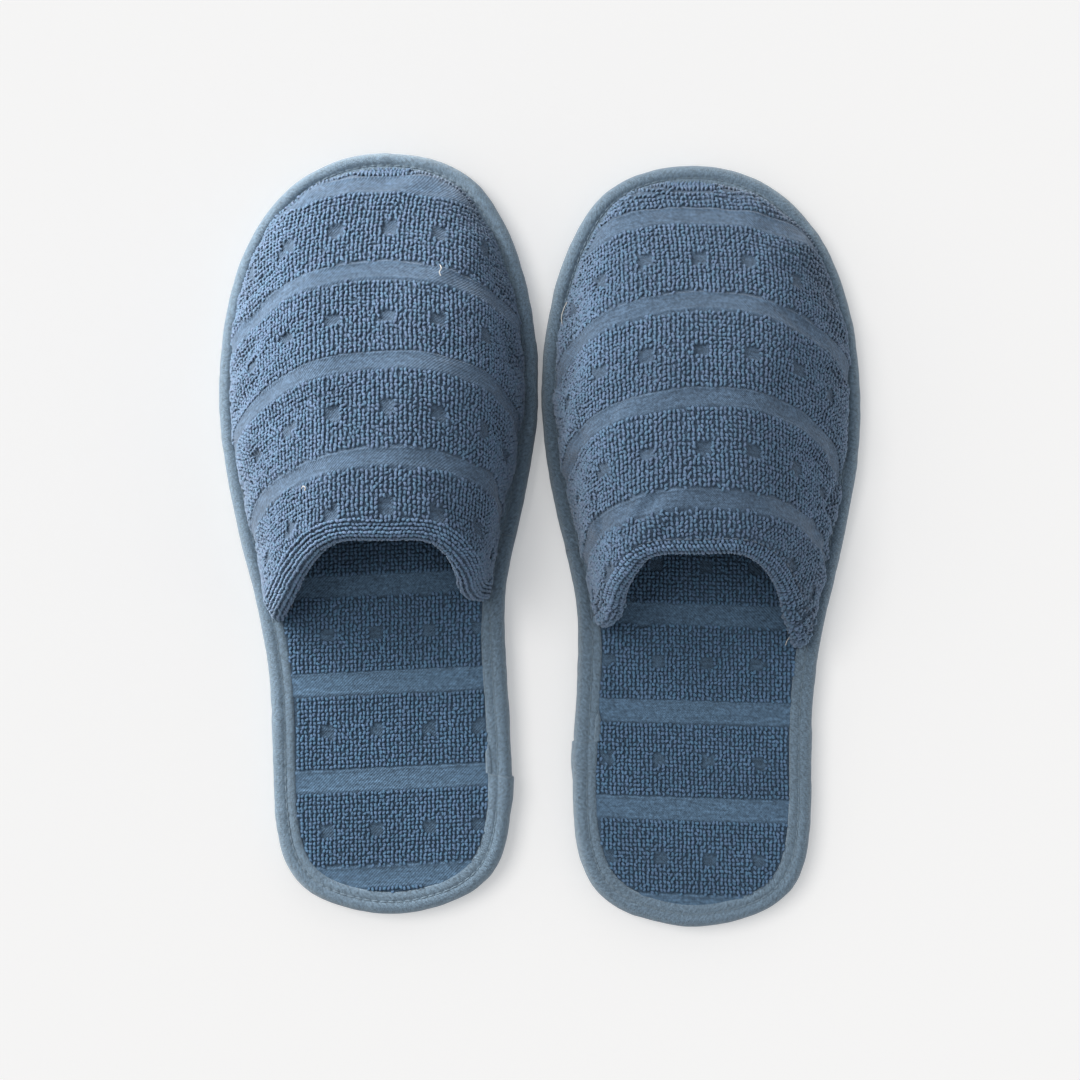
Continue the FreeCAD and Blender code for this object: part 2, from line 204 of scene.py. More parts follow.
def blur(a, reach, times=3):
    """Repeated box blur of a 2-D array by a reach per axis, edges held."""
    for _ in range(times):
        for axis, k in enumerate(reach):
            if k < 1:
                continue
            pad = [(0, 0), (0, 0)]
            pad[axis] = (k + 1, k)
            sums = np.cumsum(np.pad(a, pad, mode="edge"), axis=axis)
            n = a.shape[axis]
            high = np.take(sums, np.arange(2 * k + 1, 2 * k + 1 + n), axis=axis)
            low = np.take(sums, np.arange(0, n), axis=axis)
            a = (high - low) / (2 * k + 1)
    return a


def noise3(points, cell, seed):
    """Smooth value noise, about -1..1."""
    q = np.asarray(points) / cell
    corner = np.floor(q).astype(np.int64)
    f = q - corner
    f = f * f * f * (f * (f * 6 - 15) + 10)
    total = 0
    for step in np.ndindex(2, 2, 2):
        c = corner + step
        key = ((c[..., 0] * 73856093) ^ (c[..., 1] * 19349663) ^ (c[..., 2] * 83492791)
               ^ (seed * 2654435761))
        key = ((key ^ (key >> 13)) * 1274126177) & 0x7FFFFFFF
        key = (key ^ (key >> 16)) & 0xFFFF
        w = np.where(step, f, 1 - f)
        total = total + w[..., 0] * w[..., 1] * w[..., 2] * (key / 32767.5 - 1)
    return total


def noise2(x, y, cell, seed):
    return noise3(np.stack(np.broadcast_arrays(x, y, 0.0), -1), cell, seed)


def closed_spline(poles, u):
    """Closed uniform cubic B-spline; u in turns."""
    n = len(poles)
    t = (np.asarray(u) % 1.0) * n
    i = np.floor(t).astype(int)
    f = (t - i)[..., None]
    weights = [(1 - f) ** 3 / 6, (3 * f ** 3 - 6 * f ** 2 + 4) / 6,
               (-3 * f ** 3 + 3 * f ** 2 + 3 * f + 1) / 6, f ** 3 / 6]
    return sum(weights[k] * poles[(i + k) % n] for k in range(4))


def spline_weights(count, t):
    """Weights of the poles of a clamped cubic B-spline; t in 0..1."""
    knots = np.concatenate([[0] * 3, np.arange(count - 2), [count - 3] * 3]).astype(float)
    x = np.clip(np.asarray(t, float), 0, 1) * (count - 3)
    x = np.minimum(x, count - 3 - 1e-9)
    weights = [((x >= a) & (x < b)).astype(float) for a, b in zip(knots[:-1], knots[1:])]
    for k in range(1, 4):
        raised = []
        for i in range(len(weights) - 1):
            left = knots[i + k] - knots[i]
            right = knots[i + k + 1] - knots[i + 1]
            value = np.zeros_like(x)
            if left > 0:
                value = value + (x - knots[i]) / left * weights[i]
            if right > 0:
                value = value + (knots[i + k + 1] - x) / right * weights[i + 1]
            raised.append(value)
        weights = raised
    return weights


def natural_curvature(x, y):
    """Second derivatives of the natural cubic through (x, y[...])."""
    n = len(x)
    h = np.diff(x)
    A = np.zeros((n, n))
    R = np.zeros((n,) + y.shape[1:])
    A[0, 0] = A[-1, -1] = 1
    for i in range(1, n - 1):
        A[i, i - 1:i + 2] = h[i - 1], 2 * (h[i - 1] + h[i]), h[i]
        R[i] = 6 * ((y[i + 1] - y[i]) / h[i] - (y[i] - y[i - 1]) / h[i - 1])
    return np.linalg.solve(A, R.reshape(n, -1)).reshape(R.shape)


def natural_at(x, y, curvature, q):
    q = np.clip(q, x[0], x[-1])
    i = np.clip(np.searchsorted(x, q, side="right") - 1, 0, len(x) - 2)
    h = x[i + 1] - x[i]
    a = (x[i + 1] - q) / h
    b = (q - x[i]) / h
    widen = (...,) + (None,) * (y.ndim - 1)
    a, b, h = a[widen], b[widen], h[widen]
    bend = (a ** 3 - a) * curvature[i] + (b ** 3 - b) * curvature[i + 1]
    return a * y[i] + b * y[i + 1] + bend * h * h / 6


# =====================================================================
# the edge of the sole
# =====================================================================
def inward_ways(p):
    """Mitred inward direction at each corner of a polygon."""
    a = unit(p - np.roll(p, 1, 0))
    b = unit(np.roll(p, -1, 0) - p)
    normal_a = np.stack([-a[:, 1], a[:, 0]], 1)
    normal_b = np.stack([-b[:, 1], b[:, 0]], 1)
    m = unit(normal_a + normal_b)
    return m / np.maximum(0.6, (m * normal_a).sum(1))[:, None]


INWARD = inward_ways(OUTLINE)
EDGE_U = np.linspace(0, 1, 4001)
EDGE_S = arc_lengths(closed_spline(OUTLINE, EDGE_U))
EDGE_LEN = EDGE_S[-1]
STITCHES = int(round(EDGE_LEN / STITCH_PITCH))


def edge(inset, length):
    """Point (x, y) a length round the edge and an inset inside it."""
    u = np.interp(np.asarray(length) % EDGE_LEN, EDGE_S, EDGE_U)
    return closed_spline(OUTLINE, u) + np.asarray(inset)[..., None] * closed_spline(INWARD, u)


def inner_edge_length(y):
    """Length along the edge where its inner side passes y."""
    L = np.linspace(0, EDGE_LEN, 6000, endpoint=False)
    p = edge(0.0, L)
    return L[np.argmin(np.abs(p[:, 1] - y) + np.where(p[:, 0] > 0, 0, 1e3))]


PLAN_Y = np.linspace(-142, 142, 1137)


class Plan:
    """The outline at one inset, as a span of x for every y."""

    def __init__(self, inset):
        c = edge(inset, np.linspace(0, EDGE_LEN, 4000))
        c = np.roll(c, -np.argmin(c[:, 1]), 0)
        k = np.argmax(c[:, 1])
        up, down = c[:k + 1], c[:k - 1:-1]
        x_up = np.interp(PLAN_Y, up[:, 1], up[:, 0])
        x_down = np.interp(PLAN_Y, down[:, 1], down[:, 0])
        self.outer, self.inner = np.minimum(x_up, x_down), np.maximum(x_up, x_down)
        self.y_heel, self.y_toe = c[:, 1].min(), c[:, 1].max()

    def middle(self, y):
        return np.interp(y, PLAN_Y, (self.outer + self.inner) / 2)

    def half(self, y, least):
        return np.interp(y, PLAN_Y, np.maximum((self.inner - self.outer) / 2, least))

    def contains(self, x, y):
        return ((y > self.y_heel) & (y < self.y_toe) & (x > np.interp(y, PLAN_Y, self.outer))
                & (x < np.interp(y, PLAN_Y, self.inner)))

    def grid(self, rows, columns, easing, least):
        """Grid of x and y filling the outline, rows closer at heel and toe by easing."""
        g = np.linspace(0, 1, rows)
        length = self.y_toe - self.y_heel
        y = self.y_heel + length * (0.5 - 0.5 * np.cos(math.pi * g)) * easing
        y = y + length * g * (1 - easing)
        Y = np.repeat(y[:, None], columns, 1)
        return self.middle(Y) + self.half(Y, least) * np.linspace(-1, 1, columns)[None], Y


# =====================================================================
# the dome of the upper
# =====================================================================
_throat = sum(w[:, None] * p
              for w, p in zip(spline_weights(len(THROAT), np.linspace(0, 1, 801)), THROAT))


class Dome:
    """The upper's surface at one depth below the outside of the terry.

    tau runs from the toe (0) back past the throat (1), v from the outer foot (0) over
    the crown to the inner foot (1).
    """

    def __init__(self, depth):
        (y, outer, inner, crown, y_share, outer_share, inner_share, crown_share,
         slope) = STATIONS.T
        y = y - depth * y_share
        outer = outer + depth * outer_share
        inner = inner - depth * inner_share
        height = crown - depth * crown_share - BASE_Z
        w = inner - outer
        zero = 0 * slope
        pole_x = np.stack([
            outer, outer + slope * .015 * w, outer + (.045 + slope * .10) * w,
            outer + (.24 + slope * .075) * w, outer + (.5 + slope * .03) * w,
            inner - .24 * w, inner - .045 * w, inner, inner], 1)
        pole_z = BASE_Z + height[:, None] * np.stack([
            zero, .38 - .07 * slope, .80 - .16 * slope, .985 - .03 * slope, 1.0075 + zero,
            .985 + zero, .80 + zero, .38 + zero, zero], 1)
        self.poles = np.stack([pole_x, y[:, None] * np.ones((1, 9)), pole_z], 2)
        k = arc_lengths(self.poles[:, 4])
        self.knots = k / k[-1]
        self.curvature = natural_curvature(self.knots, self.poles)

    def tau(self, y):
        """tau at which the crown passes y."""
        t = np.linspace(0, 1, 801)
        crown_y = natural_at(self.knots, self.poles, self.curvature, t)[:, 4, 1]
        return np.interp(-np.asarray(y), -crown_y, t)

    def at(self, tau, v):
        tau, v = np.broadcast_arrays(np.asarray(tau, float), np.asarray(v, float))
        q = natural_at(self.knots, self.poles, self.curvature, tau.ravel())
        weights = spline_weights(9, v.ravel())
        p = sum(w[:, None] * q[:, i] for i, w in enumerate(weights))
        return p.reshape(tau.shape + (3,))

    def frame(self, tau, v):
        """Position, outward normal, direction along the slipper to the toe."""
        e = 2e-3
        p = self.at(tau, v)
        du = self.at(np.clip(tau - e, 0, 1), v) - self.at(np.clip(tau + e, 0, 1), v)
        dv = self.at(tau, np.clip(v + e, 0, 1)) - self.at(tau, np.clip(v - e, 0, 1))
        n = unit(np.cross(dv, du))
        n = np.where(n[..., 2:3] < -0.2, -n, n)
        return p, n, unit(du)

    def throat_tau(self, v):
        """Where each line of constant v meets the throat."""
        t = np.linspace(0.3, 1, 500)
        P = self.at(t[:, None], np.asarray(v)[None])
        ahead = P[..., 1] - np.interp(P[..., 0], _throat[:, 0], _throat[:, 1])
        i = np.maximum(np.argmax(ahead < 0, axis=0), 1)
        c = np.arange(ahead.shape[1])
        a, b = ahead[i - 1, c], ahead[i, c]
        return t[i - 1] + (t[i] - t[i - 1]) * a / (a - b)


# the terry ground cloth, and tables between v and arc from the crown on it
GROUND = Dome(CLOTH_DEPTH)
ARC_ROWS, ARC_COLUMNS = 260, 201
ARC_REACH, ARC_PER_MM = 110, 2
_v = np.linspace(0, 1, ARC_COLUMNS)
GROUND_GRID = GROUND.at(np.linspace(0, 1, ARC_ROWS)[:, None], _v[None])
_arc = np.stack([arc_lengths(row) for row in GROUND_GRID])
ARC = _arc - _arc[:, (ARC_COLUMNS - 1) // 2][:, None]
_s = np.linspace(-ARC_REACH, ARC_REACH, 2 * ARC_REACH * ARC_PER_MM + 1)
V_OF_ARC = np.stack([np.interp(_s, row, _v, left=np.nan, right=np.nan) for row in ARC])


def arc_at(tau, v):
    return bilinear(ARC, tau * (ARC_ROWS - 1), v * (ARC_COLUMNS - 1))


def v_at(tau, arc):
    """v at an arc from the crown; nan beyond the foot."""
    return bilinear(V_OF_ARC, tau * (ARC_ROWS - 1), (arc + ARC_REACH) * ARC_PER_MM)


# =====================================================================
# where the two slippers stand
# =====================================================================
def node_box(node):
    low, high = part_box(node)
    return np.array(low) * MM, np.array(high) * MM


def place_side(name):
    """One slipper's settings, turned as its heel joint and set against its binding."""
    side = SimpleNamespace(name=name, mirror=-1.0 if name == "right" else 1.0,
                           **SETTINGS[name])
    joint = [j for j in frame["joints"] if j["name"] == name + "_heel_flex"][0]
    turn = math.atan2(-joint["axis"][1], -joint["axis"][0])
    c, s = math.cos(turn), math.sin(turn)
    side.rotation = np.array([[c, -s, 0], [s, c, 0], [0, 0, 1]])
    ring = edge(0.0, np.linspace(0, EDGE_LEN, 3000))
    flat = np.c_[ring[:, 0] * side.mirror, ring[:, 1], np.zeros(len(ring))] @ side.rotation.T
    low, high = node_box(name + "_binding_front")
    x = low[0] - flat[:, 0].min() if name == "left" else high[0] - flat[:, 0].max()
    side.shift = np.array([x, high[1] - flat[:, 1].max(), 0.0])
    return side


SIDES = [place_side("left"), place_side("right")]
INSOLE_TOP = node_box("left_insole_heel")[1][2]     # top of the insole pile
INSOLE_GROUND = INSOLE_TOP - 1.55                   # ground of the insole terry


def world(side, points):
    q = np.array(points, float)
    q[..., 0] *= side.mirror
    return (q @ side.rotation.T + side.shift) / MM


# =====================================================================
# meshes
# =====================================================================
def build(name, verts, faces, uv, side, slot, material, attrs=None, smooth=True,
          blend=False, replaces=()):
    """A mesh piece from pattern coordinates; mirrored faces keep facing out.

    With blend it is left where it stands, attached to no body; otherwise it rides the forefoot.
    """
    P = world(side, verts).reshape(-1, 3)
    F = np.asarray(faces, np.int32)
    count, corners = F.shape
    uv = np.asarray(uv, np.float32).reshape(count, corners, 2)
    if side.mirror < 0:
        F, uv = F[:, ::-1], uv[:, ::-1]
    mesh = bpy.data.meshes.new(name)
    mesh.vertices.add(len(P))
    mesh.vertices.foreach_set("co", P.astype(np.float32).ravel())
    mesh.loops.add(count * corners)
    mesh.loops.foreach_set("vertex_index", np.ascontiguousarray(F).ravel())
    mesh.polygons.add(count)
    mesh.polygons.foreach_set("loop_start", (np.arange(count) * corners).astype(np.int32))
    mesh.polygons.foreach_set("loop_total", np.full(count, corners, np.int32))
    mesh.update(calc_edges=True)
    layer = mesh.uv_layers.new(name="OFBake")
    layer.data.foreach_set("uv", np.ascontiguousarray(uv).ravel())
    for key, values in (attrs or {}).items():
        attribute = mesh.attributes.new(key, "FLOAT_VECTOR", "POINT")
        attribute.data.foreach_set("vector", np.asarray(values, np.float32).ravel())
    mesh.polygons.foreach_set("use_smooth", np.full(count, smooth))
    mesh.update()
    ob = bpy.data.objects.new(name, mesh)
    bpy.context.scene.collection.objects.link(ob)
    mesh.materials.append(material)
    if blend:
        start = world(side, (0, FLEX_Y + BEND_FRONT, INSOLE_TOP))
        end = world(side, (0, FLEX_Y - BEND_BACK, INSOLE_TOP))
        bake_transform(ob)
    else:
        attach(ob, side.name + "_forefoot")
    if replaces:
        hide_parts(*replaces)


def grid_faces(rows, columns, wrap_rows=False, wrap_columns=False, margin=0.001, flip=False):
    """Quads of a grid of vertices, and their UVs inside a margin."""
    row_count = rows if wrap_rows else rows - 1
    column_count = columns if wrap_columns else columns - 1
    i, j = np.meshgrid(np.arange(row_count), np.arange(column_count), indexing="ij")
    i2, j2 = (i + 1) % rows, (j + 1) % columns
    F = np.stack([i * columns + j, i2 * columns + j, i2 * columns + j2, i * columns + j2], -1)
    u = np.stack([i, i + 1, i + 1, i], -1) / row_count
    v = np.stack([j, j, j + 1, j + 1], -1) / column_count
    F = F.reshape(-1, 4)
    uv = np.stack([u, v], -1).reshape(-1, 4, 2) * (1 - 2 * margin) + margin
    return (F[:, ::-1], uv[:, ::-1]) if flip else (F, uv)


def repeated(faces, uv, count, verts_each, margin):
    """Faces of many copies of a small mesh, each with its own tile of the UV square."""
    F = (faces[None] + (np.arange(count) * verts_each)[:, None, None]).reshape(-1, 4)
    g = int(math.ceil(math.sqrt(count)))
    tile = np.stack([np.arange(count) % g, np.arange(count) // g], 1)
    uv = (tile[:, None, None] + margin + (1 - 2 * margin) * uv[None]) / g
    return F, uv.reshape(-1, 4, 2)


def sweep(name, side, lengths, sections, slot, material, replaces=()):
    """Closed sections of (inset, z) carried round the outline, one per edge length."""
    rows, columns = sections.shape[:2]
    L = lengths[:, None]
    V = np.concatenate([edge(sections[..., 0], L), sections[..., 1:2]], -1)
    steps = np.linalg.norm(np.diff(sections, axis=1), axis=-1)
    across = np.concatenate([np.zeros((rows, 1)), np.cumsum(steps, 1)], 1)
    weave = np.stack(np.broadcast_arrays(L, across, 0.0), -1)
    build(name, V, *grid_faces(rows, columns, True, True, flip=True), side, slot, material,
          attrs={"tape": weave, "cloth": weave}, blend=True, replaces=replaces)


def stitches(name, side, points, along, normals, length, radius, material, **riding):
    """Small capsules lying on a surface."""
    rings, around = 5, 6
    x = np.linspace(-1, 1, rings)
    r = radius * np.sqrt(np.clip(1 - (np.abs(x) ** 3.0), 0.02, 1))
    a = np.linspace(0, TAU, around, endpoint=False)
    capsule = np.stack([np.repeat(x[:, None] * length / 2, around, 1),
                        r[:, None] * np.cos(a)[None], r[:, None] * np.sin(a)[None]], -1)
    capsule = capsule.reshape(1, -1, 3)
    along = unit(along)
    normals = unit(normals - along * (normals * along).sum(1)[:, None])
    beside = np.cross(normals, along)
    V = (points[:, None] + along[:, None] * capsule[..., :1]
         + beside[:, None] * capsule[..., 1:2] + normals[:, None] * capsule[..., 2:])
    faces, uv = grid_faces(rings, around, wrap_columns=True)
    F, uv = repeated(faces, uv, len(points), rings * around, 0.05)
    build(name, V, F, uv, side, "sewing_thread", material, **riding)


LOOP_RINGS, LOOP_SIDES = 6, 5
LOOPS_PER_PIECE = 3400


def pile(name, side, points, normals, along, slot, material, rng, half_width, height, radius,
         yaw, lean, bright=None, blend=False):
    """Terry loops: arches of yarn on points, in the plane of normal and along.

    yaw turns a loop about its normal, lean tips it over, bright adds to its tone.
    """
    total = len(points)
    if bright is None:
        bright = np.zeros(total)
    parts = int(math.ceil(total / LOOPS_PER_PIECE))
    arch = np.linspace(math.radians(4), math.radians(176), LOOP_RINGS)
    turn = np.linspace(0, TAU, LOOP_SIDES, endpoint=False)
    faces, face_uv = grid_faces(LOOP_RINGS, LOOP_SIDES, wrap_columns=True, margin=0)
    c, s = np.cos(arch)[None, :, None], np.sin(arch)[None, :, None]
    shape = (LOOP_RINGS, LOOP_SIDES)
    for k in range(parts):
        own = slice(total * k // parts, total * (k + 1) // parts)
        p, up = points[own], unit(normals[own])
        m = len(p)
        tangent = unit(along[own] - up * (along[own] * up).sum(1)[:, None])
        beside = np.cross(up, tangent)
        y, l = yaw[own][:, None], lean[own][:, None]
        foot = tangent * np.cos(y) + beside * np.sin(y)
        rise = up * np.cos(l) + (-tangent * np.sin(y) + beside * np.cos(y)) * np.sin(l)
        flat = np.cross(foot, rise)
        widths = half_width * rng.uniform(0.80, 1.18, m)[:, None, None]
        heights = height * rng.uniform(0.82, 1.14, m)[:, None, None]
        radii = radius * rng.uniform(0.88, 1.14, m)[:, None, None, None]
        skew = rng.normal(0, 0.22, m)[:, None, None]
        across = widths * (c * (0.72 + 0.38 * s) + skew * s)
        centre = p[:, None] + foot[:, None] * across + rise[:, None] * (heights * s - 0.25)
        way = unit(np.gradient(centre, axis=1))
        outward = unit(np.cross(way, flat[:, None]))
        thick = (0.82 + 0.25 * np.sin(arch))[None, :, None, None]
        V = centre[:, :, None] + radii * thick * (
            outward[:, :, None] * np.cos(turn)[None, None, :, None]
            + flat[:, None, None] * np.sin(turn)[None, None, :, None])
        F, uv = repeated(faces, face_uv, m, LOOP_RINGS * LOOP_SIDES, 0.06)
        # painted shade: the yarn's tone falls towards the foot of each loop, where the loops
        # shade one another
        loop_height_shade = (np.clip(heights * s / height, 0, 1.2) * 0.8
               + 0.2 * (0.5 - 0.5 * np.cos(turn))[None, None])
        tone = rng.uniform(0, 1, m) + bright[own]
        hue = rng.uniform(0, 1, m)
        yarn = np.stack(np.broadcast_arrays(tone[:, None, None], loop_height_shade, hue[:, None, None]), -1)
        lie = unit(world(side, p + up) - world(side, p))
        lie = np.broadcast_to(lie[:, None, None], (m,) + shape + (3,))
        build("%s_%02d" % (name, k + 1) if parts > 1 else name, V, F, uv, side, slot, material,
              attrs={"yarn": yarn, "lie": lie}, blend=blend)


# =====================================================================
# materials
# =====================================================================
class Shader:
    """A principled material and the few node kinds the cloths are made of."""

    def __init__(self, name):
        self.material = bpy.data.materials.new(name)
        self.material.use_nodes = True
        self.tree = self.material.node_tree
        self.tree.nodes.clear()
        output = self.node("OutputMaterial")
        self.bsdf = self.node("BsdfPrincipled")
        self.put(output.inputs[0], self.bsdf.outputs[0])

    def node(self, kind, **settings):
        made = self.tree.nodes.new("ShaderNode" + kind)
        for key, value in settings.items():
            setattr(made, key, value)
        return made

    def put(self, socket, value):
        if isinstance(value, bpy.types.NodeSocket):
            self.tree.links.new(value, socket)
        else:
            socket.default_value = value

    def math(self, operation, a, b=0.0, c=None):
        made = self.node("Math", operation=operation)
        self.put(made.inputs[0], a)
        self.put(made.inputs[1], b)
        if c is not None:
            self.put(made.inputs[2], c)
        return made.outputs[0]

    def times(self, a, b):
        return self.math("MULTIPLY", a, b)

    def plus(self, a, b):
        return self.math("ADD", a, b)

    def wave(self, value, period):
        return self.math("SINE", self.times(value, TAU / period))

    def tone(self, *layers):
        """Product of value * gain + base over layers of (value, gain, base)."""
        product = None
        for value, gain, base in layers:
            layer = self.math("MULTIPLY_ADD", value, gain, base)
            product = layer if product is None else self.times(product, layer)
        return product

    def attribute(self, name):
        return self.node("Attribute", attribute_name=name).outputs["Vector"]

    def parts(self, vector):
        made = self.node("SeparateXYZ")
        self.put(made.inputs[0], vector)
        return made.outputs

    def object_position(self):
        return self.node("TexCoord").outputs["Object"]

    def noise(self, scale, detail=2.0, roughness=0.5, vector=None):
        made = self.node("TexNoise")
        made.inputs["Scale"].default_value = scale
        made.inputs["Detail"].default_value = detail
        made.inputs["Roughness"].default_value = roughness
        self.put(made.inputs["Vector"], vector or self.object_position())
        return made.outputs["Fac"]

    def mix(self, factor, a, b):
        made = self.node("Mix", data_type="RGBA")
        self.put(made.inputs[0], factor)
        made.inputs[6].default_value = a + (1.0,)       # colour A
        made.inputs[7].default_value = b + (1.0,)       # colour B
        return made.outputs[2]

    def scale(self, colour, factor):
        made = self.node("VectorMath", operation="SCALE")
        self.put(made.inputs[0], colour)
        self.put(made.inputs["Scale"], factor)
        return made.outputs[0]

    def flat_vector(self, x, y):
        made = self.node("CombineXYZ")
        for socket, value in zip(made.inputs, (x, y, 0.0)):
            self.put(socket, value)
        return made.outputs[0]

    def bump(self, height, distance, strength, normal=None):
        made = self.node("Bump")
        made.inputs["Strength"].default_value = strength
        made.inputs["Distance"].default_value = distance
        self.put(made.inputs["Height"], height)
        if normal is not None:
            self.put(made.inputs["Normal"], normal)
        return made.outputs[0]

    def lie_normal(self, amount):
        """Shading normal leaning towards the cloth: light scatters from loop to loop."""
        lie = self.node("VectorTransform", vector_type="NORMAL", convert_from="OBJECT",
                        convert_to="WORLD")
        self.put(lie.inputs[0], self.attribute("lie"))
        geometry = self.node("NewGeometry")
        own = self.scale(geometry.outputs["Normal"], 1.0 - amount)
        cloth = self.scale(lie.outputs[0], amount)
        added = self.node("VectorMath", operation="ADD")
        self.put(added.inputs[0], own)
        self.put(added.inputs[1], cloth)
        result = self.node("VectorMath", operation="NORMALIZE")
        self.put(result.inputs[0], added.outputs[0])
        return result.outputs[0]

    def finish(self, colour, roughness, normal=None, specular=0.3, sheen=0.0,
               sheen_tint=(1, 1, 1, 1)):
        values = {"Base Color": colour, "Roughness": roughness, "Specular IOR Level": specular,
                  "Sheen Weight": sheen, "Sheen Roughness": 0.55, "Sheen Tint": sheen_tint}
        for key, value in values.items():
            self.put(self.bsdf.inputs[key], value)
        if normal is not None:
            self.put(self.bsdf.inputs["Normal"], normal)
        return self.material


# colours, linear
TERRY = (0.101, 0.165, 0.254)
TERRY_INSOLE = (0.082, 0.153, 0.246)
GROUND_INSOLE = (0.077, 0.138, 0.214)
TERRY_TINT = (0.80, 0.88, 1, 1)
# painted light: the hem pile is the upper's yarn made this much lighter, standing for the light
# on the rolled hem
HEM_PAINTED_LIGHT = 1.20


def terry_pile(name, base):
    """Yarn that varies from loop to loop, with painted shade low on each loop, and a fine fibre.
    """
    n = Shader(name)
    own, loop_height_shade, hue = n.parts(n.attribute("yarn"))
    patch = n.noise(60.0)
    # the second value of yarn lays painted shade low on each loop
    tone = n.tone((own, 0.24, 0.86), (loop_height_shade, 0.16, 0.84), (n.noise(1500.0), 0.50, 0.75),
                  (patch, 0.30, 0.87))
    cool = (base[0] * 0.90, base[1] * 1.01, base[2] * 1.00)
    warm = (base[0] * 1.10, base[1] * 0.99, base[2] * 1.03)
    colour = n.scale(n.mix(hue, cool, warm), tone)
    fibre = n.noise(2600.0)
    bump = n.bump(fibre, distance=0.00012, strength=0.6, normal=n.lie_normal(0.68))
    return n.finish(colour, 0.92, bump, specular=0.12, sheen=0.35, sheen_tint=TERRY_TINT)


def terry_ground(name, base):
    """Flat woven bands and squares, and the ground between loops darkened with painted shade."""
    n = Shader(name)
    slope = 1.0                     # slope of the twill lines
    vector = n.attribute("cloth")
    s, t, flat = n.parts(vector)
    # two crossed sets of threads, coarser across
    coarse = n.wave(n.plus(s, n.times(t, slope)), period=1.15)
    fine = n.wave(n.math("SUBTRACT", n.times(s, slope), n.times(t, slope)), period=0.62)
    twill = n.math("MULTIPLY_ADD", coarse, 0.6, n.times(fine, 0.4))
    slub = n.noise(0.55, 3.0, 0.6, n.flat_vector(n.times(s, 0.30), n.times(t, 1.9)))
    grain = n.noise(0.95, 2.0, 0.6, vector)
    # painted shade on the ground between loops, lifted where the third value of cloth (flat) is
    # higher: bands and squares
    tone = n.tone((twill, 0.07, 0.95), (slub, 1.30, 0.35), (grain, 1.80, 0.10),
                  (flat, 0.46, 0.57))
    colour = n.scale(base, tone)
    height = n.math("MULTIPLY_ADD", twill, 0.5, n.times(grain, 0.9))
    return n.finish(colour, 0.88, n.bump(height, distance=0.00022, strength=0.8),
                    specular=0.15, sheen=0.25, sheen_tint=TERRY_TINT)


def tape_twill(name, base):
    """Twill with wandering slanted lines and small specks."""
    n = Shader(name)
    vector = n.attribute("tape")
    along, across, _ = n.parts(vector)
    wander = n.noise(0.12, vector=vector)
    slanted = n.plus(n.plus(along, n.times(across, 1.25)), n.times(wander, 0.5))
    twill = n.wave(slanted, period=0.85)
    cross = n.wave(across, period=0.52)
    grain = n.noise(1.5, 3.0, 0.65, vector)
    broad = n.noise(0.05, vector=vector)
    slant = n.flat_vector(n.plus(along, across),
                          n.times(n.math("SUBTRACT", along, across), 0.55))
    speck = n.noise(0.85, 2.0, 0.6, slant)
    tone = n.tone((twill, 0.12, 0.92), (grain, 1.10, 0.45), (speck, 2.00, 0.02),
                  (broad, 0.20, 0.90))
    colour = n.scale(base, tone)
    height = n.plus(n.math("MULTIPLY_ADD", twill, 0.5, n.times(cross, 0.25)), grain)
    return n.finish(colour, 0.72, n.bump(height, distance=0.00016, strength=0.9),
                    specular=0.28, sheen=0.45, sheen_tint=(0.85, 0.95, 1, 1))


def thread(name, base):
    n = Shader(name)
    grain = n.noise(1500.0)
    return n.finish(n.scale(base, n.tone((grain, 0.4, 0.8))), 0.6,
                    n.bump(grain, distance=0.0001, strength=0.8), specular=0.35, sheen=0.3)


def eva(name, base):
    n = Shader(name)
    grain = n.noise(900.0, 3.0, 0.6)
    wear = n.noise(35.0)
    colour = n.scale(base, n.tone((grain, 0.25, 0.88), (wear, 0.3, 0.85)))
    roughness = n.tone((wear, 0.2, 0.6))
    return n.finish(colour, roughness, n.bump(grain, distance=0.0001, strength=0.7),
                    specular=0.35)


def foam(name, base):
    n = Shader(name)
    cells = n.node("TexVoronoi")
    cells.inputs["Scale"].default_value = 900.0
    n.put(cells.inputs["Vector"], n.object_position())
    depth = cells.outputs["Distance"]
    return n.finish(n.scale(base, n.tone((depth, 0.5, 0.72))), 0.95,
                    n.bump(depth, distance=0.0004, strength=0.9), specular=0.1)


def tricot(name, base):
    """Knit: ribs 0.9 mm apart with a wavy row of stitches."""
    n = Shader(name)
    vector = n.attribute("cloth")
    s, t, _ = n.parts(vector)
    rib = n.math("ABSOLUTE", n.wave(s, period=2 * 0.9))
    row = n.wave(n.plus(t, n.times(rib, 0.4)), period=0.8)
    grain = n.noise(0.4, 3.0, 0.6, vector)
    colour = n.scale(base, n.tone((row, 0.10, 0.90), (grain, 0.3, 0.85)))
    return n.finish(colour, 0.85, n.bump(n.plus(rib, row), distance=0.00015, strength=0.7),
                    specular=0.2, sheen=0.2)


UPPER_PILE = terry_pile("terry_upper_pile", TERRY)
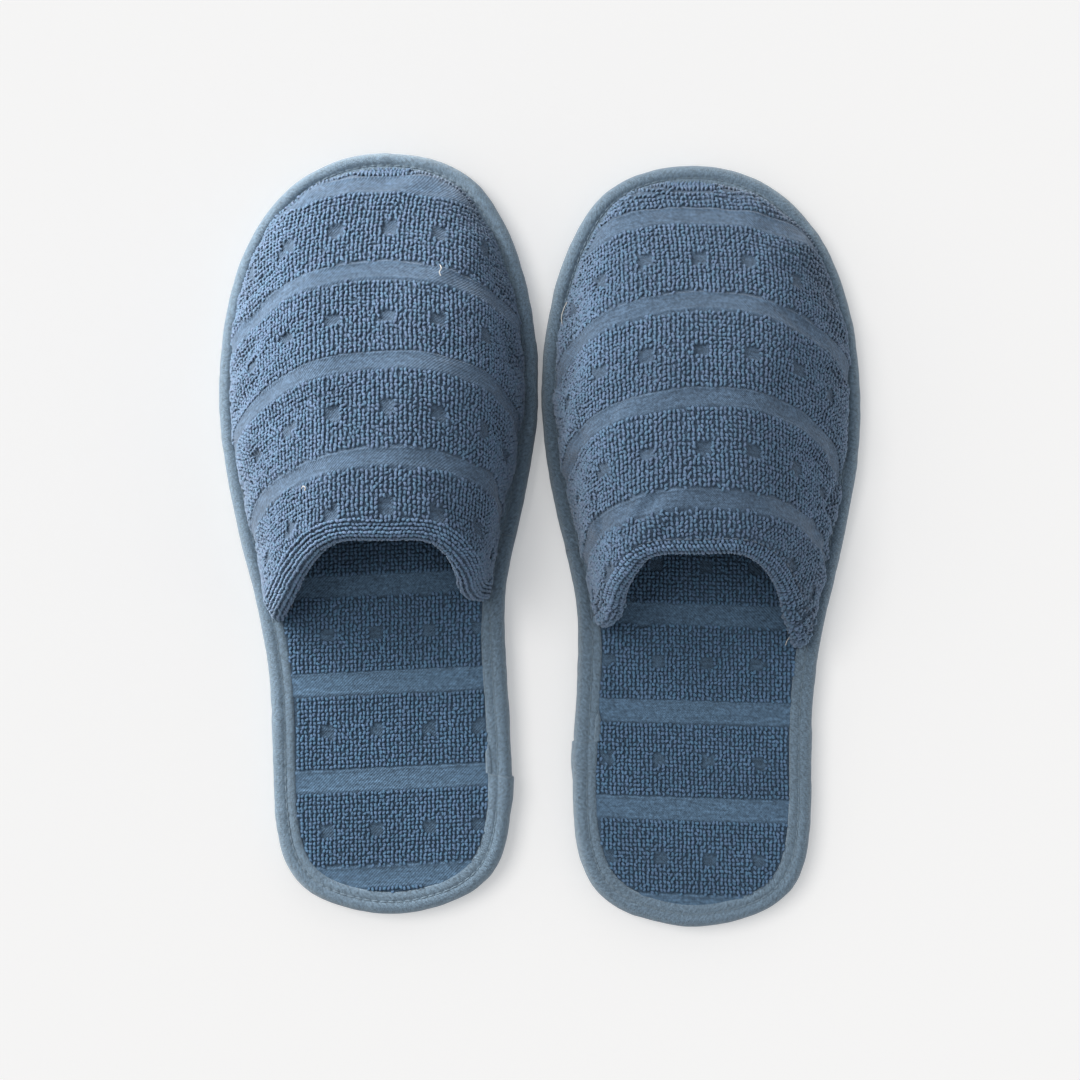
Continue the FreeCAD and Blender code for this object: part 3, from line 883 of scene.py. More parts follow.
# a lighter copy of the upper pile for the hem: painted light
HEM_PILE_PAINTED_LIGHT = terry_pile("terry_hem_pile", tuple(HEM_PAINTED_LIGHT * c for c in TERRY))
INSOLE_PILE = terry_pile("terry_insole_pile", TERRY_INSOLE)
UPPER_CLOTH = terry_ground("terry_upper_ground", TERRY)
INSOLE_CLOTH = terry_ground("terry_insole_ground", GROUND_INSOLE)
TAPE = tape_twill("binding_twill", (0.118, 0.178, 0.240))
THREAD = thread("sewing_thread", (0.120, 0.176, 0.225))
THREAD_END = thread("thread_end", (0.52, 0.50, 0.47))
HEM_THREAD = thread("hem_thread", (0.050, 0.085, 0.135))
OUTSOLE = eva("outsole_eva", (0.045, 0.060, 0.080))
MIDSOLE = foam("midsole_foam", (0.55, 0.56, 0.55))
PADDING = foam("padding_foam", (0.17, 0.21, 0.26))
LINING = tricot("lining_tricot", (0.060, 0.090, 0.130))


# =====================================================================
# layout of the woven bands; t is distance along the cloth towards the heel
# =====================================================================
def band_offset(t):
    """Signed distance to the middle of the nearest band."""
    return (t + BAND_PITCH / 2) % BAND_PITCH - BAND_PITCH / 2


def in_band(t, band):
    return smooth01((band / 2 + 0.3 - np.abs(band_offset(t))) / 0.6)


def band_cords(t, band):
    """A fine raised cord along the toe side of each band, a lower one at its heel side."""
    d = band_offset(t)
    return 0.34 * bell(d + band / 2 - 0.75, 0.42) + 0.16 * bell(d - band / 2 + 0.8, 0.5)


def square_distance(s, t, middle):
    """Distance to the nearest square's middle, the larger of the two ways."""
    ds = np.abs((s - middle + SQUARE_PITCH / 2) % SQUARE_PITCH - SQUARE_PITCH / 2)
    return np.maximum(ds, np.abs(t % BAND_PITCH - BAND_PITCH / 2))


def weft_wander(side, s, t):
    return (0.55 * noise2(s, t, 17.0, side.seed + 70)
            + 0.22 * noise2(s, t, 6.5, side.seed + 71))


# =====================================================================
# outsole and midsole
# =====================================================================
def slab(name, side, inset, z_bottom, z_top, slot, material, replaces, tread=False):
    rows, columns = (300, 120) if tread else (120, 40)
    X, Y = Plan(inset).grid(rows, columns, easing=0.35, least=0.8)
    bottom = np.full_like(X, z_bottom)
    if tread:
        # low rounded lozenges on the floor side
        pitch, slant, depth = 5.2, 0.58, 0.42
        a = (np.sin(TAU * (X + Y * slant) / pitch) * np.sin(TAU * (X - Y * slant) / pitch))
        bottom = bottom + depth * (1 - smooth01((a + 0.25) / 0.55))
    V = np.stack([np.stack([X, Y, np.full_like(X, z_top)], -1), np.stack([X, Y, bottom], -1)])
    F, uv = grid_faces(rows, columns)
    layer = rows * columns
    # the wall: outer and inner sides, heel, toe
    i = np.arange(rows - 1) * columns
    j = np.arange(columns - 1)
    last = (rows - 1) * columns
    a = np.concatenate([i, i + 2 * columns - 1, j + 1, last + j])
    b = np.concatenate([i + columns, i + columns - 1, j, last + j + 1])
    wall = np.stack([a, b, b + layer, a + layer], 1)
    wall_uv = np.zeros((len(wall), 4, 2))
    wall_uv[:, :, 0] = 0.96 + np.array([0, 0, 0.03, 0.03])
    wall_uv[:, :, 1] = (np.arange(len(wall))[:, None] + np.array([0, 1, 1, 0])) / len(wall)
    build(name, V, np.concatenate([F[:, ::-1], F + layer, wall]),
          np.concatenate([uv[:, ::-1] * (0.45, 1), uv * (0.45, 1) + (0.5, 0), wall_uv]),
          side, slot, material, smooth=tread, blend=True, replaces=replaces)


def soles(side):
    n = side.name
    outsole = (n + "_outsole_front", n + "_outsole_heel")
    midsole = (n + "_midsole_front", n + "_midsole_heel")
    tread_top = 1.15
    slab(n + "_outsole_eva", side, 8.3, 0.0, tread_top, "sole_eva", OUTSOLE, outsole,
         tread=True)
    slab(n + "_outsole_slab", side, SEAM_INSET, tread_top, 3.9, "sole_eva", OUTSOLE, outsole)
    slab(n + "_midsole_sheet", side, SEAM_INSET, 4.0, 7.95, "sole_foam", MIDSOLE, midsole)


# =====================================================================
# insole
# =====================================================================
def insole(side):
    n = side.name
    plan = Plan(8.0)
    least = 1.0

    def ground_z(x, y):
        """Ground of the insole cloth: softly crowned, settled at the edge."""
        f = (x - plan.middle(y)) / plan.half(y, least)
        crown = 0.55 * (1 - np.clip(np.abs(f), 0, 1) ** 3.0)
        ends = smooth01((y - plan.y_heel) / 14.0) * smooth01((plan.y_toe - y) / 14.0)
        return (INSOLE_GROUND - 0.20 + crown * ends + 0.20 * noise2(x, y, 17.0, side.seed)
                + 0.08 * noise2(x, y, 6.0, side.seed + 5))

    rows, columns = 700, 90
    X, Y = plan.grid(rows, columns, easing=0.20, least=least)
    t = -(Y - side.insole_tilt * X - side.insole_band_y)
    band = in_band(t, INSOLE_BAND)
    Z = ground_z(X, Y) + 0.15 * band + band_cords(t, INSOLE_BAND)
    square = square_distance(X, t, side.insole_square_x)
    # third value of cloth: how far the ground is lifted out of the painted shade between loops,
    # most on bands, a little in squares
    flat = np.maximum(0.80 * band, 0.22 * smooth01((INSOLE_SQUARE / 2 + 0.3 - square) / 0.6))
    build(n + "_insole_cloth", np.stack([X, Y, Z], -1), *grid_faces(rows, columns, flip=True),
          side, "terry_insole", INSOLE_CLOTH, attrs={"cloth": np.stack([X, t, flat], -1)},
          blend=True, replaces=(n + "_insole_front", n + "_insole_heel"))

    # backing cloth under it, out to the seam under the tape: inset, depth below the ground
    backing = np.array([(9.5, 0.9), (1.9, 0.75), (1.5, 0.95), (1.5, 1.4), (1.9, 1.6),
                        (9.5, 1.6)])
    backing[:, 1] = INSOLE_GROUND - backing[:, 1]
    lengths = np.linspace(0, EDGE_LEN, 420, endpoint=False)
    sweep(n + "_insole_backing", side, lengths, np.repeat(backing[None], len(lengths), 0),
          "terry_insole", INSOLE_CLOTH)

    # loops in rows along the bands, none on bands or squares
    rng = np.random.default_rng(side.seed)
    pitch = 1.50
    x, t = np.meshgrid(np.arange(-66, 66, pitch), np.arange(-150, 150, pitch * 0.98))
    x = (x + rng.normal(0, 0.13, x.shape)).ravel()
    t = (t + rng.normal(0, 0.13, t.shape)).ravel()
    y = side.insole_band_y - t + side.insole_tilt * x
    kept = Plan(8.9).contains(x, y) & (np.abs(band_offset(t)) > INSOLE_BAND / 2)
    kept &= square_distance(x, t, side.insole_square_x) > INSOLE_SQUARE / 2
    x, y = x[kept], y[kept]
    P = np.stack([x, y, ground_z(x, y)], -1)
    d = 1.0                                 # step over which the slope is measured
    slope_x = (ground_z(x + d, y) - ground_z(x - d, y)) / (2 * d)
    slope_y = (ground_z(x, y + d) - ground_z(x, y - d)) / (2 * d)
    N = unit(np.stack([-slope_x, -slope_y, np.ones_like(x)], -1))
    T = np.tile([side.insole_tilt, 1.0, 0.0], (len(x), 1))
    yaw = rng.normal(0, 0.55, len(x)) + 0.6 * noise3(P, 8.0, side.seed + 4)
    lean = rng.normal(0, 0.24, len(x)) + 0.36 * noise3(P, 9.0, side.seed + 3)
    wear = 0.25 * noise3(P, 14.0, side.seed + 8)
    heel = y < FLEX_Y + BEND_FRONT + 1.0
    for tag, m, blend in (("front", ~heel, False), ("heel", heel, True)):
        pile("%s_insole_pile_%s" % (n, tag), side, P[m], N[m], T[m], "terry_insole",
             INSOLE_PILE, rng, half_width=0.54, height=0.84, radius=0.50, yaw=yaw[m],
             lean=lean[m], bright=wear[m], blend=blend)


# =====================================================================
# binding tape round the edge
# =====================================================================
# its section as (inset, z): the outside, from the lower lip round the edge to the lip on
# top, then the inside back down
TAPE_OUTSIDE = [
    (7.9, 0.75), (8.0, 0.35), (7.8, 0.08), (6.0, 0.05), (4.0, 0.05), (2.4, 0.12),
    (1.2, 0.55), (0.45, 1.35), (0.10, 2.5), (0.0, 4.0), (0.0, 5.6), (0.08, 7.2),
    (0.35, 8.7), (0.95, 9.95), (1.85, 10.75), (2.9, 11.05), (3.8, 10.98), (4.5, 10.72),
    (4.95, 10.46), (5.25, 10.42), (5.6, 10.52), (6.2, 10.68), (7.0, 10.66), (7.8, 10.5),
    (8.35, 10.2), (8.62, 9.85), (8.55, 9.65)]
TAPE_INSIDE = [
    (7.4, 9.62), (5.2, 9.40), (2.6, 9.55), (1.45, 9.2), (1.2, 8.0), (1.2, 3.0),
    (1.35, 1.4), (2.4, 0.95), (5.0, 0.85)]
TAPE_SECTION = np.array(TAPE_OUTSIDE + TAPE_INSIDE)
TAPE_THICK = 0.75                 # height of the lap above the tape under it


def tape_sections(side, lengths, lap):
    """The tape's section at each length, rippled, stitched down and lapped."""
    inset, z = TAPE_SECTION.T
    outside = np.arange(len(TAPE_SECTION)) < len(TAPE_OUTSIDE)
    on_top = z > 9.0
    L = lengths[:, None]
    S = np.repeat(TAPE_SECTION[None], len(lengths), 0)
    # gentle ripples of a tape stretched round a soft edge
    small = noise2(L, 0, 2.1, side.seed + 33)
    ripple = (0.28 * noise2(L, 0, 11.0, side.seed + 31)
              + 0.16 * noise2(L, 0, 4.2, side.seed + 32) + 0.07 * small)
    roll = bell(inset - 2.6, 2.2) * on_top
    wall = bell(z - 6.0, 4.0) * (inset < 1.3) * outside
    lip = bell(inset - 7.4, 1.0) * (z > 9.7)
    S[..., 1] += ripple * roll * 0.9
    S[..., 0] -= ripple * wall * 0.6 - 0.05
    S[..., 1] += (0.16 * noise2(L, 0, 6.0, side.seed + 34) + 0.10 * small) * lip
    # the stitches draw the groove down at each needle hole
    hole = 0.5 + 0.5 * np.cos(TAU * L / (EDGE_LEN / STITCHES))
    S[..., 1] -= 0.22 * hole * bell(inset - STITCH_INSET, 0.55) * (z > 9.7)
    # the lip meets the foot of the upper in front, so it stands a little steeper there
    front = smooth01((edge(0.0, L)[..., 1] + 38.0) / 10.0)
    S[..., 0] -= 0.55 * front * smooth01((inset - 6.0) / 2.4) * on_top
    # the covering end of the lap stands proud, with a sharp edge at the joint
    behind = lap - L
    over = np.where((behind > 0) & (behind < 15), 1 - smooth01((behind - 7) / 8.0), 0.0)
    lapped = (z > 1.0) & outside
    S[..., 0] -= TAPE_THICK * over * (lapped & (inset < 2.0))
    S[..., 1] += TAPE_THICK * over * (lapped & (inset >= 1.8) & on_top)
    return S


def lap_fold(side, lap):
    """The turned-under end of the tape beside the lap."""
    rows = 22
    d = np.linspace(0.0, 11.5, rows)
    L = (lap + d)[:, None]
    width = (1.9 * (1 - smooth01((d - 7.5) / 4.0)) + 0.15)[:, None]
    inset = (8.3 + width * np.array([-0.5, -0.25, 0.25, 0.5, 0.5, -0.5])
             + np.array([0, 0, 0, 0.2, 0, 0]))
    z = np.broadcast_to([10.55, 11.05, 11.0, 10.4, 10.0, 10.1], inset.shape)
    weave = np.stack(np.broadcast_arrays(L, inset * 1.3, 0.0), -1)
    build(side.name + "_binding_lap_fold", np.concatenate([edge(inset, L), z[..., None]], -1),
          *grid_faces(rows, 6, wrap_columns=True), side, "binding_twill", TAPE,
          attrs={"tape": weave, "cloth": weave}, blend=True)


def binding(side):
    n = side.name
    lap = inner_edge_length(side.lap_y)
    lengths = np.linspace(0, EDGE_LEN, 1500, endpoint=False)
    sweep(n + "_binding_tape", side, lengths, tape_sections(side, lengths, lap),
          "binding_twill", TAPE, replaces=(n + "_binding_front", n + "_binding_heel"))
    lap_fold(side, lap)
    L = (np.arange(STITCHES) + 0.5) * EDGE_LEN / STITCHES
    p, ahead = edge(STITCH_INSET, L), edge(STITCH_INSET, L + 0.5)
    stitches(n + "_binding_stitches", side, np.c_[p, np.full(STITCHES, 10.46)],
             np.c_[ahead - p, np.zeros(STITCHES)], np.tile([0, 0, 1.0], (STITCHES, 1)),
             length=2.75, radius=0.26, material=THREAD, blend=True,
             replaces=(n + "_binding_thread_front", n + "_binding_thread_heel"))


# =====================================================================
# shape of the upper's cloth
# =====================================================================
HEM_V = np.linspace(0, 1, 301)
THROAT_TAU = GROUND.throat_tau(HEM_V)
TOE_STRETCH = 1.35                # t per mm of y ahead of the first crown row
COMB_GAP = 0.0195                 # tau between the hem line and the start of its roll


def set_hem(side):
    """The hem line; its wings may reach a little further back than the throat."""
    wings = (side.wing_outer * smooth01((0.15 - HEM_V) / 0.13)
             + side.wing_inner * smooth01((HEM_V - 0.85) / 0.13))
    tau = np.minimum(THROAT_TAU + wings, 0.995)
    points = GROUND.at(tau, HEM_V)
    side.hem = SimpleNamespace(tau=tau, points=points, along=arc_lengths(points))


def nearest_hem(side, P):
    """Distance to the hem line, and length along it to the nearest point."""
    distance, along = np.empty(len(P)), np.empty(len(P))
    for k in range(0, len(P), 4000):
        gap = np.linalg.norm(P[k:k + 4000, None] - side.hem.points[None], axis=-1)
        distance[k:k + 4000] = gap.min(1)
        along[k:k + 4000] = side.hem.along[gap.argmin(1)]
    return distance, along


def sag(side, arc):
    """How far a weft line hangs back from its crown."""
    return 1.75 * (np.abs(arc - side.crown_arc) / 18.4) ** 2


def crown_t(side, y):
    y_toe, y_heel = side.crown_rows[[0, -1], 0]
    rows = side.crown_rows[::-1]
    return (np.interp(y, rows[:, 0], rows[:, 1])
            + np.where(y > y_toe, -(y - y_toe) * TOE_STRETCH, 0)
            + np.where(y < y_heel, -(y - y_heel), 0))


def crown_y(side, t):
    rows = side.crown_rows
    (y_toe, t_toe), (y_heel, t_heel) = rows[0], rows[-1]
    y = np.interp(t, rows[:, 1], rows[:, 0])
    return np.where(t < t_toe, y_toe + (t_toe - t) / TOE_STRETCH,
                    np.where(t > t_heel, y_heel - (t - t_heel), y))


SIM_ROWS, SIM_COLUMNS = 84, 120
SIM_FRAMES = 18
SIM_SCALE = 0.01                  # simulated at 10 cm to the unit


def simulate(side):
    """Cloth simulation of the padded upper, cut a little full, held at foot and hem and
    inflated by the padding. Keeps its relief, without the plain swelling."""
    side.relief = np.zeros((SIM_ROWS, SIM_COLUMNS))
    v = np.linspace(0, 1, SIM_COLUMNS)
    start_tau = np.interp(v, HEM_V, side.hem.tau) - COMB_GAP
    P, N, _ = GROUND.frame(np.linspace(0, 1, SIM_ROWS)[:, None] * start_tau[None], v[None])
    start = P + N * (0.12 * noise3(P, 7.0, side.seed + 91))[..., None]
    F, _ = grid_faces(SIM_ROWS, SIM_COLUMNS)
    mesh = bpy.data.meshes.new("sim")
    mesh.from_pydata((start.reshape(-1, 3) * SIM_SCALE).tolist(), [], F.tolist())
    mesh.update()
    ob = bpy.data.objects.new("sim", mesh)
    bpy.context.scene.collection.objects.link(ob)
    index = np.arange(SIM_ROWS * SIM_COLUMNS).reshape(SIM_ROWS, SIM_COLUMNS)
    border = np.unique(np.concatenate([index[0], index[-1], index[:, 0], index[:, -1]]))
    ob.vertex_groups.new(name="pin").add(border.tolist(), 1.0, "REPLACE")
    cloth = ob.modifiers.new("cloth", "CLOTH")
    settings = dict(
        quality=6, mass=0.25, tension_stiffness=12.0, compression_stiffness=12.0,
        shear_stiffness=4.0, bending_stiffness=0.35, use_pressure=True,
        uniform_pressure_force=2.2, vertex_group_mass="pin", shrink_min=-side.ease)
    for key, value in settings.items():
        setattr(cloth.settings, key, value)
    cloth.settings.effector_weights.gravity = 0.0
    cloth.collision_settings.use_collision = False
    cloth.collision_settings.use_self_collision = False
    cloth.point_cache.frame_start, cloth.point_cache.frame_end = 1, SIM_FRAMES
    scene = bpy.context.scene
    for number in range(1, SIM_FRAMES + 1):
        scene.frame_set(number)
    evaluated = ob.evaluated_get(bpy.context.evaluated_depsgraph_get())
    result = evaluated.to_mesh()
    co = np.empty(len(result.vertices) * 3, np.float32)
    result.vertices.foreach_get("co", co)
    evaluated.to_mesh_clear()
    bpy.data.objects.remove(ob, do_unlink=True)
    bpy.data.meshes.remove(mesh)
    scene.frame_set(1)
    R = co.reshape(SIM_ROWS, SIM_COLUMNS, 3).astype(float) / SIM_SCALE
    if not np.isfinite(R).all():        # a cloth that has blown up leaves no relief
        return
    swell = ((R - P) * N).sum(-1)
    fine = swell - blur(swell, (9, 9))
    most = 1.6
    side.relief = most * np.tanh(blur(fine, (1, 1), 1) / most)


def crease_gaps(side, distance, along):
    """For each crease: signed distance to its wandering line, depth and reach."""
    for place, depth, reach in side.creases:
        middle = place if place > 0 else side.hem.along[-1] + place
        wander = 1.1 * noise2(distance, place, 4.5, side.seed + 54)
        yield along - middle - wander, depth, reach


def stand_off(side, P, v, share=None):
    """How far the cloth stands out of (or sinks below) the clean dome.

    share is the way from toe to hem in the simulated cloth; without it the simulated
    relief is left out.
    """
    seed = side.seed
    x, y, z = P.T
    distance, along = nearest_hem(side, P)
    out = 0.60 * noise3(P, 24.0, seed + 51) + 0.36 * noise3(P, 11.0, seed + 52)
    # soft fullness behind the hem
    out += 0.75 * bell(distance - 3.5, 5.5)
    # the padded cloth bulges over the tape at its foot, most on the outer side
    front = smooth01((y + 34.0) / 12.0)
    lateral = smooth01((0.46 - v) / 0.34)
    outer = lateral * smooth01((80.0 - y) / 40.0)
    outer_toe = lateral * smooth01((128.0 - y) / 16.0) * smooth01((y - 45.0) / 30.0)
    full = 2.6 + 1.3 * outer + 0.8 * smooth01((100.0 - y) / 50.0) + 1.9 * outer_toe
    height = np.maximum(z - BASE_Z - 2.0, 0)
    out += full * bell(height, 9.5 + 5.0 * outer) * (0.70 + 0.30 * front)
    # gathers where the cloth is eased in along its foot
    foot = np.exp(-np.minimum(v, 1 - v) * 26.0)
    toe = smooth01((y - 70) / 40)
    out += foot * (0.20 + 0.16 * toe) * noise2(x, y, 5.0, seed + 53)
    # creases running in from the hem at both wings, with a low ridge either side
    for gap, depth, reach in crease_gaps(side, distance, along):
        fade = 1 - smooth01((distance - reach * 0.5) / (reach * 0.5))
        out -= depth * bell(gap, 0.95) * smooth01((distance - 0.5) / 2.5) * fade
        out += 0.35 * depth * bell(np.abs(gap) - 2.2, 1.2) * fade
    if side.fold:
        # a soft fold with a ridge either side
        line = np.array(side.fold)
        gap = x - np.interp(y, line[::-1, 1], line[::-1, 0])
        on = (smooth01((line[0, 1] + 3 - y) / 6.0) * smooth01((y - line[-1, 1] + 3) / 6.0)
              * (v < 0.5))
        out -= 1.5 * bell(gap, 0.95) * on
        out += 0.9 * bell(gap + 2.3, 1.4) * on + 0.5 * bell(gap - 2.6, 1.6) * on
    if share is not None:
        out += (1.7 - 1.0 * toe) * bilinear(
            side.relief, np.clip(share, 0, 1) * (SIM_ROWS - 1.001),
            np.clip(v, 0, 1) * (SIM_COLUMNS - 1.001))
    # hollows flatten out below -0.4
    return np.where(out < -0.4, -0.4 - 0.7 * np.tanh((-0.4 - out) / 0.7), out)


# =====================================================================
# pieces of the upper
# =====================================================================
def upper_cloth(side):
    """Ground cloth: a skirt at its foot, the dome, the rolled hem and the flap inside.

    Returns what the loops and stitches on it are placed by.
    """
    rows, columns = 400, 180
    v = np.linspace(0, 1, columns)
    start = np.interp(v, HEM_V, side.hem.tau) - COMB_GAP
    share = np.linspace(0, 1, rows)[:, None]
    tau = share * start[None]
    X, N, D = GROUND.frame(tau, v[None])
    P = X.reshape(-1, 3)
    distance, _ = nearest_hem(side, P)
    v_all = np.repeat(v[None], rows, 0).ravel()
    out = stand_off(side, P, v_all, np.repeat(share, columns, 1).ravel())
    arc = arc_at(tau.ravel(), v_all)
    t = crown_t(side, P[:, 1] + sag(side, arc))
    t = t + weft_wander(side, arc, t)
    plain = smooth01((distance - side.hem_width) / 0.6)
    band = in_band(t, UPPER_BAND)
    pit = smooth01((UPPER_SQUARE / 2 + 0.2 - square_distance(arc, t, side.square_arc)) / 0.9)
    lift = 0.20 * band + band_cords(t, UPPER_BAND) - 0.42 * pit
    P = P + N.reshape(-1, 3) * np.maximum(out + lift * plain, -1.08)[:, None]
    ground = P.reshape(rows, columns, 3)
    # third value of cloth: the bands lifted a little out of the painted shade laid on the ground
    # between loops
    weave = np.stack([arc, t, 0.26 * band * plain], -1).reshape(rows, columns, 3)

    # the roll, about a line inside the cloth
    last = ground[-1]
    normal = unit(N[-1])
    along = unit(np.gradient(last, axis=0))
    back = unit(np.cross(normal, along))
    back = np.where((back * D[-1]).sum(-1, keepdims=True) > 0, -back, back)
    radius = (HEM_RADIUS + HEM_SWELL * np.interp(v, [0, .06, .94, 1], [0, 1, 1, 0]))[:, None]
    centre = last - normal * radius
    turned, turned_t = [], []
    for a in np.linspace(0, math.pi, 13)[1:]:
        turned.append(centre + radius * (normal * math.cos(a) + back * math.sin(a)))
        turned_t.append((a * radius)[:, 0])
    for d in (2.0, 4.5, 7.0, 9.0):
        turned.append(centre - radius * normal - back * d - normal * 0.02 * d)
        turned_t.append(8 + d + 0 * v)
    turned_weave = [np.stack([weave[-1, :, 0], weave[-1, :, 1] + dt, 0 * v], -1)
                    for dt in turned_t]

    # the skirt, which dives in under the foot and fades out towards both wings
    foot_out = unit(unit(N[0] * np.array([1, 1, 0.0]) + np.array([0, 1e-6, 0])))
    foot_arc = arc_lengths(ground[0])
    foot_len = foot_arc[-1]
    fade = smooth01(2.6 * np.minimum(foot_arc, foot_len - foot_arc) / foot_len)
    skirt = ground[0] + foot_out * (0.9 * fade)[:, None]
    under = ground[0] + foot_out * (1.8 * fade)[:, None]
    skirt[:, 2] -= 0.5
    under[:, 2] = 10.1

    V = np.concatenate([under[None], skirt[None], ground, np.stack(turned)])
    V[..., 2] = np.maximum(V[..., 2], BASE_Z)
    weave = np.concatenate([weave[:1], weave[:1], weave, np.stack(turned_weave)])
    build(side.name + "_upper_cloth", V, *grid_faces(len(V), columns), side, "terry_upper",
          UPPER_CLOTH, attrs={"cloth": weave}, replaces=(side.name + "_upper_shell",))
    return SimpleNamespace(
        v=v, start=start, hem_arc=arc_lengths(last), normal=normal, along=along, back=back,
        radius=radius, centre=centre, foot=ground[0], skirt=skirt, under=under,
        foot_out=foot_out, foot_arc=foot_arc, fade=fade)


def way_share(cloth, tau, v):
    """Way from the toe to the start of the roll."""
    return tau / np.interp(v, cloth.v, cloth.start)


def upper_pile(side, cloth, rng):
    """Loops over the dome, none on bands, squares or the hem."""
    column_pitch, row_pitch = 1.60, 1.46
    arc, t = np.meshgrid(np.arange(-100, 100, column_pitch), np.arange(-60, 190, row_pitch))
    arc = (arc + rng.normal(0, 0.13, arc.shape)).ravel()
    t = (t + rng.normal(0, 0.17, t.shape)).ravel()
    y = crown_y(side, t - weft_wander(side, arc, t)) - sag(side, arc)
    kept = (y < 131.5) & (y > -48)
    arc, t, y = arc[kept], t[kept], y[kept]
    tau = GROUND.tau(y)
    v = v_at(tau, arc)
    kept = np.isfinite(v)
    arc, t, tau, v = arc[kept], t[kept], tau[kept], v[kept]
    kept = (tau < np.interp(v, HEM_V, side.hem.tau)) & (tau > 0.004) & (v > 0.006) & (v < 0.994)
    kept &= np.abs(band_offset(t)) > UPPER_BAND / 2
    kept &= square_distance(arc, t, side.square_arc) > UPPER_SQUARE / 2
    arc, t, tau, v = arc[kept], t[kept], tau[kept], v[kept]
    P, N, D = GROUND.frame(tau, v)
    distance, _ = nearest_hem(side, P)
    foot = np.minimum(arc_at(tau, v) - arc_at(tau, 0 * v),
                      arc_at(tau, 0 * v + 1) - arc_at(tau, v))
    kept = ((distance > side.hem_width + 0.3) & ((foot > 2.6) | (P[:, 1] < 74))
            & ((tau > 0.016) | (foot > 40)))
    P, N, D, arc, t, tau, v = [a[kept] for a in (P, N, D, arc, t, tau, v)]
    P = P + N * stand_off(side, P, v, way_share(cloth, tau, v))[:, None]
    m = len(P)
    column = np.round(arc / column_pitch).astype(int)
    row = np.round(t / row_pitch).astype(int)
    zigzag = np.where((row + column) % 2 == 0, 1.0, -1.0)
    yaw = (zigzag * rng.normal(0.34, 0.20, m) + rng.normal(0, 0.30, m)
           + 0.5 * noise3(P, 7.0, side.seed + 64))
    lean = (-zigzag * rng.normal(0.16, 0.16, m) + 0.34 * noise3(P, 9.0, side.seed + 61)
            + rng.normal(0, 0.10, m))
    wear = 0.22 * noise3(P, 13.0, side.seed + 62)
    order = np.argsort(t)
    P, N, D, yaw, lean, wear = [a[order] for a in (P, N, D, yaw, lean, wear)]
    pile(side.name + "_upper_pile", side, P, N, D, "terry_upper", UPPER_PILE, rng,
         half_width=0.66, height=0.90, radius=0.50, yaw=yaw, lean=lean, bright=wear)


def toe_comb(side, cloth, rng):
    """Rows of loops where the cloth dives into the seam round the toe."""
    P, N, T = [], [], []
    # two rows round the toe, at a distance above the foot
    for d in (0.5, 1.9):
        tau = np.linspace(0.34, 0.0004 + (d - 0.5) / 190.0, 260)
        outer = v_at(tau, arc_at(tau, 0 * tau) + d)
        inner = v_at(tau, arc_at(tau, 0 * tau + 1) - d)
        kept = np.isfinite(outer) & np.isfinite(inner) & (outer < 0.45) & (inner > 0.55)
        tau, outer, inner = tau[kept], outer[kept], inner[kept]
        across = np.linspace(outer[-1], inner[-1], 24)[1:-1]
        tau = np.concatenate([tau, np.full(len(across), tau[-1]), tau[::-1]])
        v = np.concatenate([outer, across, inner[::-1]])
        line, normal, _ = GROUND.frame(tau, v)
        line = line + normal * stand_off(side, line, v, way_share(cloth, tau, v))[:, None]
        length = arc_lengths(line)
        step = np.arange(0.3 + d * 0.4, length[-1] - 0.3, 1.50)
        step = step + rng.normal(0, 0.10, len(step))
        way = unit(columns_at(step, length, np.gradient(line, axis=0)))
        P.append(columns_at(step, length, line))
        N.append(unit(columns_at(step, length, normal)))
        T.append(np.cross(N[-1], way))
    # three rows down the skirt: first step, row, least fade
    for first, row, least in ((0.0, cloth.foot, 0.0), (0.7, cloth.skirt, 0.30),
                              (0.0, cloth.under, 0.62)):
        step = np.arange(0.4 + first, cloth.foot_arc[-1] - 0.2, 1.45)
        step = step[np.interp(step, cloth.foot_arc, cloth.fade) >= least]
        out = unit(columns_at(step, cloth.foot_arc, cloth.foot_out))
        P.append(columns_at(step, cloth.foot_arc, row))
        N.append(unit(out * 0.6 + np.array([0, 0, 0.8])))
        T.append(unit(out - N[-1] * (out * N[-1]).sum(1)[:, None]))
    P, N, T = np.concatenate(P), np.concatenate(N), np.concatenate(T)
    pile(side.name + "_toe_comb", side, P, N, T, "terry_upper", UPPER_PILE, rng,
         half_width=0.66, height=1.10, radius=0.45, yaw=rng.normal(0, 0.30, len(P)),
         lean=rng.normal(0, 0.20, len(P)))


def walk_to(side, cloth, v, distance, steps):
    """tau at which the lines v lie a distance from the hem line."""
    tau = np.interp(v, cloth.v, cloth.start)
    for _ in range(steps):
        tau = tau - (distance - nearest_hem(side, GROUND.at(tau, v))[0]) * TAU_PER_MM
    return tau


